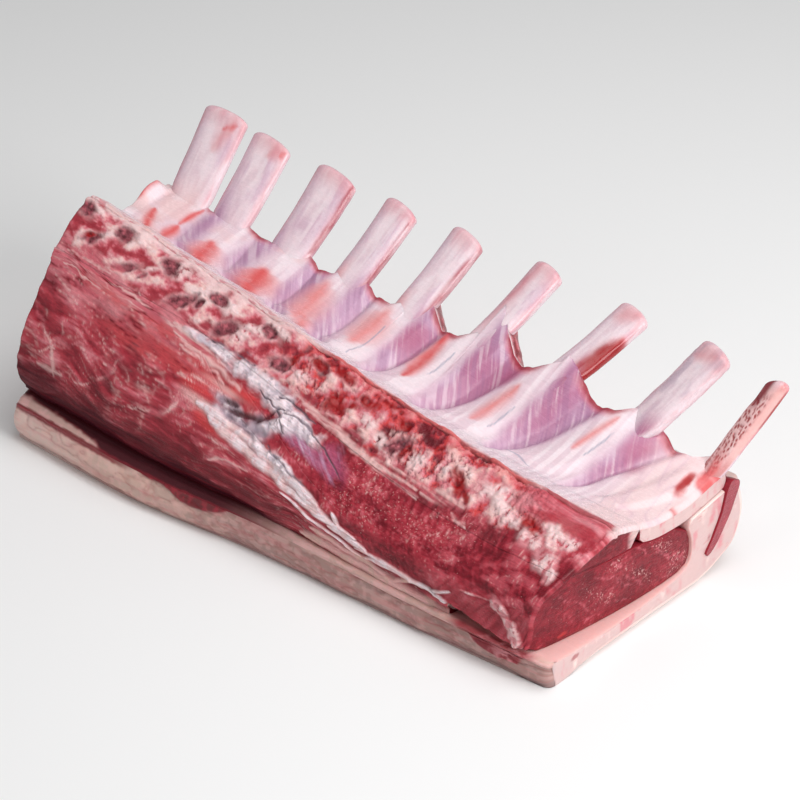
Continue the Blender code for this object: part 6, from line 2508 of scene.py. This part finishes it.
@dataclass(frozen=True)
class Plate:
    """The membrane-covered meat between the ribs."""

    count: int = 440
    set_back: float = 1.0
    edge: float = 0.8

    def outer(self, x: Array) -> Array:
        """Share where the scalloped edge lies."""
        return 1 + INNER_SIDE.reach(x) + 0.012 * (NOISE.fractal(joined(x / 3, 0, 4), 3) - 0.5)

    def lower_edge(self, x: Array) -> Array:
        """Share where the underside ends: farther out where the notch walls lean out."""
        return self.outer(x) + 0.012 + WALL_LEAN * np.interp(x, WALL_X, WALL_SHARE)

    def rim(self, x: Array, share: Array) -> Array:
        """Rounded outer edge, from the underside up to the membrane.

        Args:
            x: Places along the chine in millimetres.
            share: Share of the curve, from 0 to 1.

        Returns:
            Points of the surface, y and z.
        """
        edge, low = (np.broadcast_to(find(x[:, :1]), x.shape)
                     for find in (self.outer, self.lower_edge))
        start, end = SHAPE.under(x, low), SHAPE.inner(x, edge)
        bow = joined(self.edge + share * 0, 0)
        return bowed(start, end, bow, share)

    def flesh(self, x: Array, share: Array) -> Coat:
        """Cut flesh of the scalloped edge, under the lip of the membrane.

        Args:
            x: Places along the chine in millimetres.
            share: Share of the curve, from 0 to 1.

        Returns:
            The painted coat.
        """
        fine = NOISE.fractal(joined(x / 2, share * 4, 0), 3)
        coat = Coat.plain(x.shape, Tint.LEAN, 0.3)
        coat.lay(Tint.LEAN_DEEP, 0.6 * step(0.50, 0.38, fine))
        coat.lay(Tint.LEAN_PINK, 0.8 * step(0.50, 0.64, fine))
        coat.lay(Tint.MEMBRANE, 0.9 * step(0.86, 0.98, share))
        edge = np.broadcast_to(self.outer(x[:, :1]), x.shape)
        lift = INNER_SIDE.coat(x, edge).relief
        coat.relief += 0.5 * (fine - 0.5) + lift * share
        return coat

    def inside(self, x: Array, share: Array) -> Array:
        """Hidden joint with the chine.

        Args:
            x: Places along the chine in millimetres.
            share: Share of the curve, from 0 to 1.

        Returns:
            Points of the surface, y and z.
        """
        joint = np.full_like(x, CHINE_INNER)
        start, end = SHAPE.inner(x, joint), SHAPE.under(x, joint)
        return start + (end - start) * share[..., None]

    def tube(self) -> Tube:
        """The plate as one closed tube."""
        runs = (Run(SHAPE.under, CHINE_INNER, self.lower_edge, 12),
                Run(self.rim, 0, 1, 12, self.flesh),
                Run(SHAPE.inner, self.outer, CHINE_INNER, 84, INNER_SIDE.coat),
                Run(self.inside, 0, 1, 3))
        return Tube(runs, ((0, 0.0), (1, 0.0), (2, 0.0), (3, 0.0)), SHOULDER_END + self.set_back,
                    CHINE_LENGTH - self.set_back, self.count,
                    (Cut(PLATE_RIM, CutFace(Tint.LEAN, 15.0), 0.6),
                     Cut(LOIN_RIM, CutFace(Tint.FAT_PINK, 16.0), 0.6)),
                    Tint.LEAN, LOIN_SET_BACK)


# ---- stage -------------------------------------------------------------------------------
LAMP_AIM = Vector((0, 0, 0.04))
SURROUND_STRENGTH = 0.26
FLOOR_HALF = 4.0
FLOOR_SHADE = 0.88
FLOOR_ROUGHNESS = 0.6


def put_facing(name: str, data: bpy.types.ID, place_at: Vector, facing: Vector) -> bpy.types.Object:
    """Camera or light in the scene, looking in a direction.

    Args:
        name: Name of the object.
        data: Its camera or light.
        place_at: Position in metres.
        facing: Direction in which it looks.

    Returns:
        The new object.
    """
    item = bpy.data.objects.new(name, data)
    item.location = place_at
    item.rotation_mode = "QUATERNION"
    item.rotation_quaternion = facing.to_track_quat("-Z", "Y")
    bpy.context.scene.collection.objects.link(item)
    return item


@dataclass(frozen=True)
class Camera:
    """Camera at the viewing angle of the front view."""

    azimuth: float = 41.8
    elevation: float = 31.5
    distance: float = 1.2
    target: tuple[float, float, float] = (0.007903, 0.016633, 0.041906)
    lens: float = 143.97
    sensor: float = 36.0

    def build(self) -> None:
        """Create the camera and make it the scene's."""
        turn, tilt = math.radians(self.azimuth), math.radians(self.elevation)
        back = Vector((math.sin(turn) * math.cos(tilt), -math.cos(turn) * math.cos(tilt),
                       math.sin(tilt)))
        data = bpy.data.cameras.new("camera")
        data.lens, data.sensor_width = self.lens, self.sensor
        place_at = Vector(self.target) + back * self.distance
        bpy.context.scene.camera = put_facing("camera", data, place_at, -back)


@dataclass(frozen=True)
class Lamp:
    """Soft square light that faces the food.

    Args:
        name: Name of the light.
        place: Position in metres.
        size: Side of the square in metres.
        power: Power in watts.
        colour: Red, green and blue of its light.
    """

    name: str
    place: tuple[float, float, float]
    size: float
    power: float
    colour: tuple[float, float, float] = (1, 1, 1)

    def build(self) -> None:
        """Create the light."""
        data = bpy.data.lights.new(self.name, "AREA")
        data.size, data.energy, data.color = self.size, self.power, self.colour
        place_at = Vector(self.place)
        put_facing(self.name, data, place_at, LAMP_AIM - place_at)


LAMPS = (
    Lamp("overhead", (0.20, 0.15, 0.95), 0.7, 5.2),
    Lamp("key_right", (1.0, 0.0, 0.60), 0.5, 8.0),
    Lamp("fill_left", (-0.5, -1.0, 0.45), 0.8, 1.6),
)


def build_stage() -> None:
    """Pale floor, soft lights and a pale surround."""
    bpy.context.scene.view_settings.view_transform = "Standard"
    world = bpy.data.worlds.new("surround")
    world.use_nodes = True
    set_inputs(world.node_tree.nodes["Background"],
               {"Color": (1, 1, 1, 1), "Strength": SURROUND_STRENGTH})
    bpy.context.scene.world = world
    mesh = bpy.data.meshes.new("floor")
    corners = [(x * FLOOR_HALF, y * FLOOR_HALF, 0) for x, y in ((-1, -1), (1, -1), (1, 1), (-1, 1))]
    mesh.from_pydata(corners, [], [(0, 1, 2, 3)])
    floor = bpy.data.objects.new("floor", mesh)
    paper = bpy.data.materials.new("floor")
    paper.use_nodes = True
    set_inputs(paper.node_tree.nodes["Principled BSDF"],
               {"Base Color": (*[FLOOR_SHADE] * 3, 1), "Roughness": FLOOR_ROUGHNESS})
    mesh.materials.append(paper)
    bpy.context.scene.collection.objects.link(floor)
    for lamp in LAMPS:
        lamp.build()


# ---- assembly ----------------------------------------------------------------------------
def keep(piece: bpy.types.Object, node: str) -> None:
    """Let a piece stand for a solid and report it.

    Args:
        piece: Finished piece.
        node: Name of the solid.
    """
    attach(piece, ROOT_BODY)
    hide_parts(node)
    log.info("%s: %d faces", piece.name, len(piece.data.polygons))


def main() -> None:
    """Build every piece, then the stage and the camera."""
    logging.basicConfig(level=logging.INFO, format="%(message)s")
    groups = {"grain": grain_group(), "fibre": fibre_group(), "fleck": fleck_group()}
    lean, sawn, fat, membrane, bone = (finish.material(groups)
                                       for finish in (LEAN, SAWN, FAT, MEMBRANE, BONE))
    slab, meat, chine, plate = Fat(), Meat(), Chine(), Plate()
    keep(slab.slab().build("fat_slab", fat), "fat_cap")
    keep(slab.muscle().build("cap_strip", lean), "cap_muscle")
    keep(meat.shoulder().build("shoulder", lean), "shoulder_muscle")
    keep(meat.seam().build("seam", fat), "seam_fat")
    keep(meat.eye().build("eye", lean), "loin_eye")
    keep(chine.tube(SHOULDER_END, BONE_END, Tint.BONE).build("chine", sawn), "chine_bone")
    strip = chine.tube(BONE_END, CHINE_LENGTH - 1, Tint.LEAN, LOIN_SET_BACK)
    keep(strip.build("chine_strip", lean), "chine_strip_muscle")
    keep(plate.tube().build("plate", membrane), "rib_plate")
    for number in range(1, len(RIBS) + 1):
        keep(Rib(number).build(f"bone_{number}", bone), f"rib_{number}")
    build_stage()
    Camera().build()


if __name__ == "__main__":
    main()
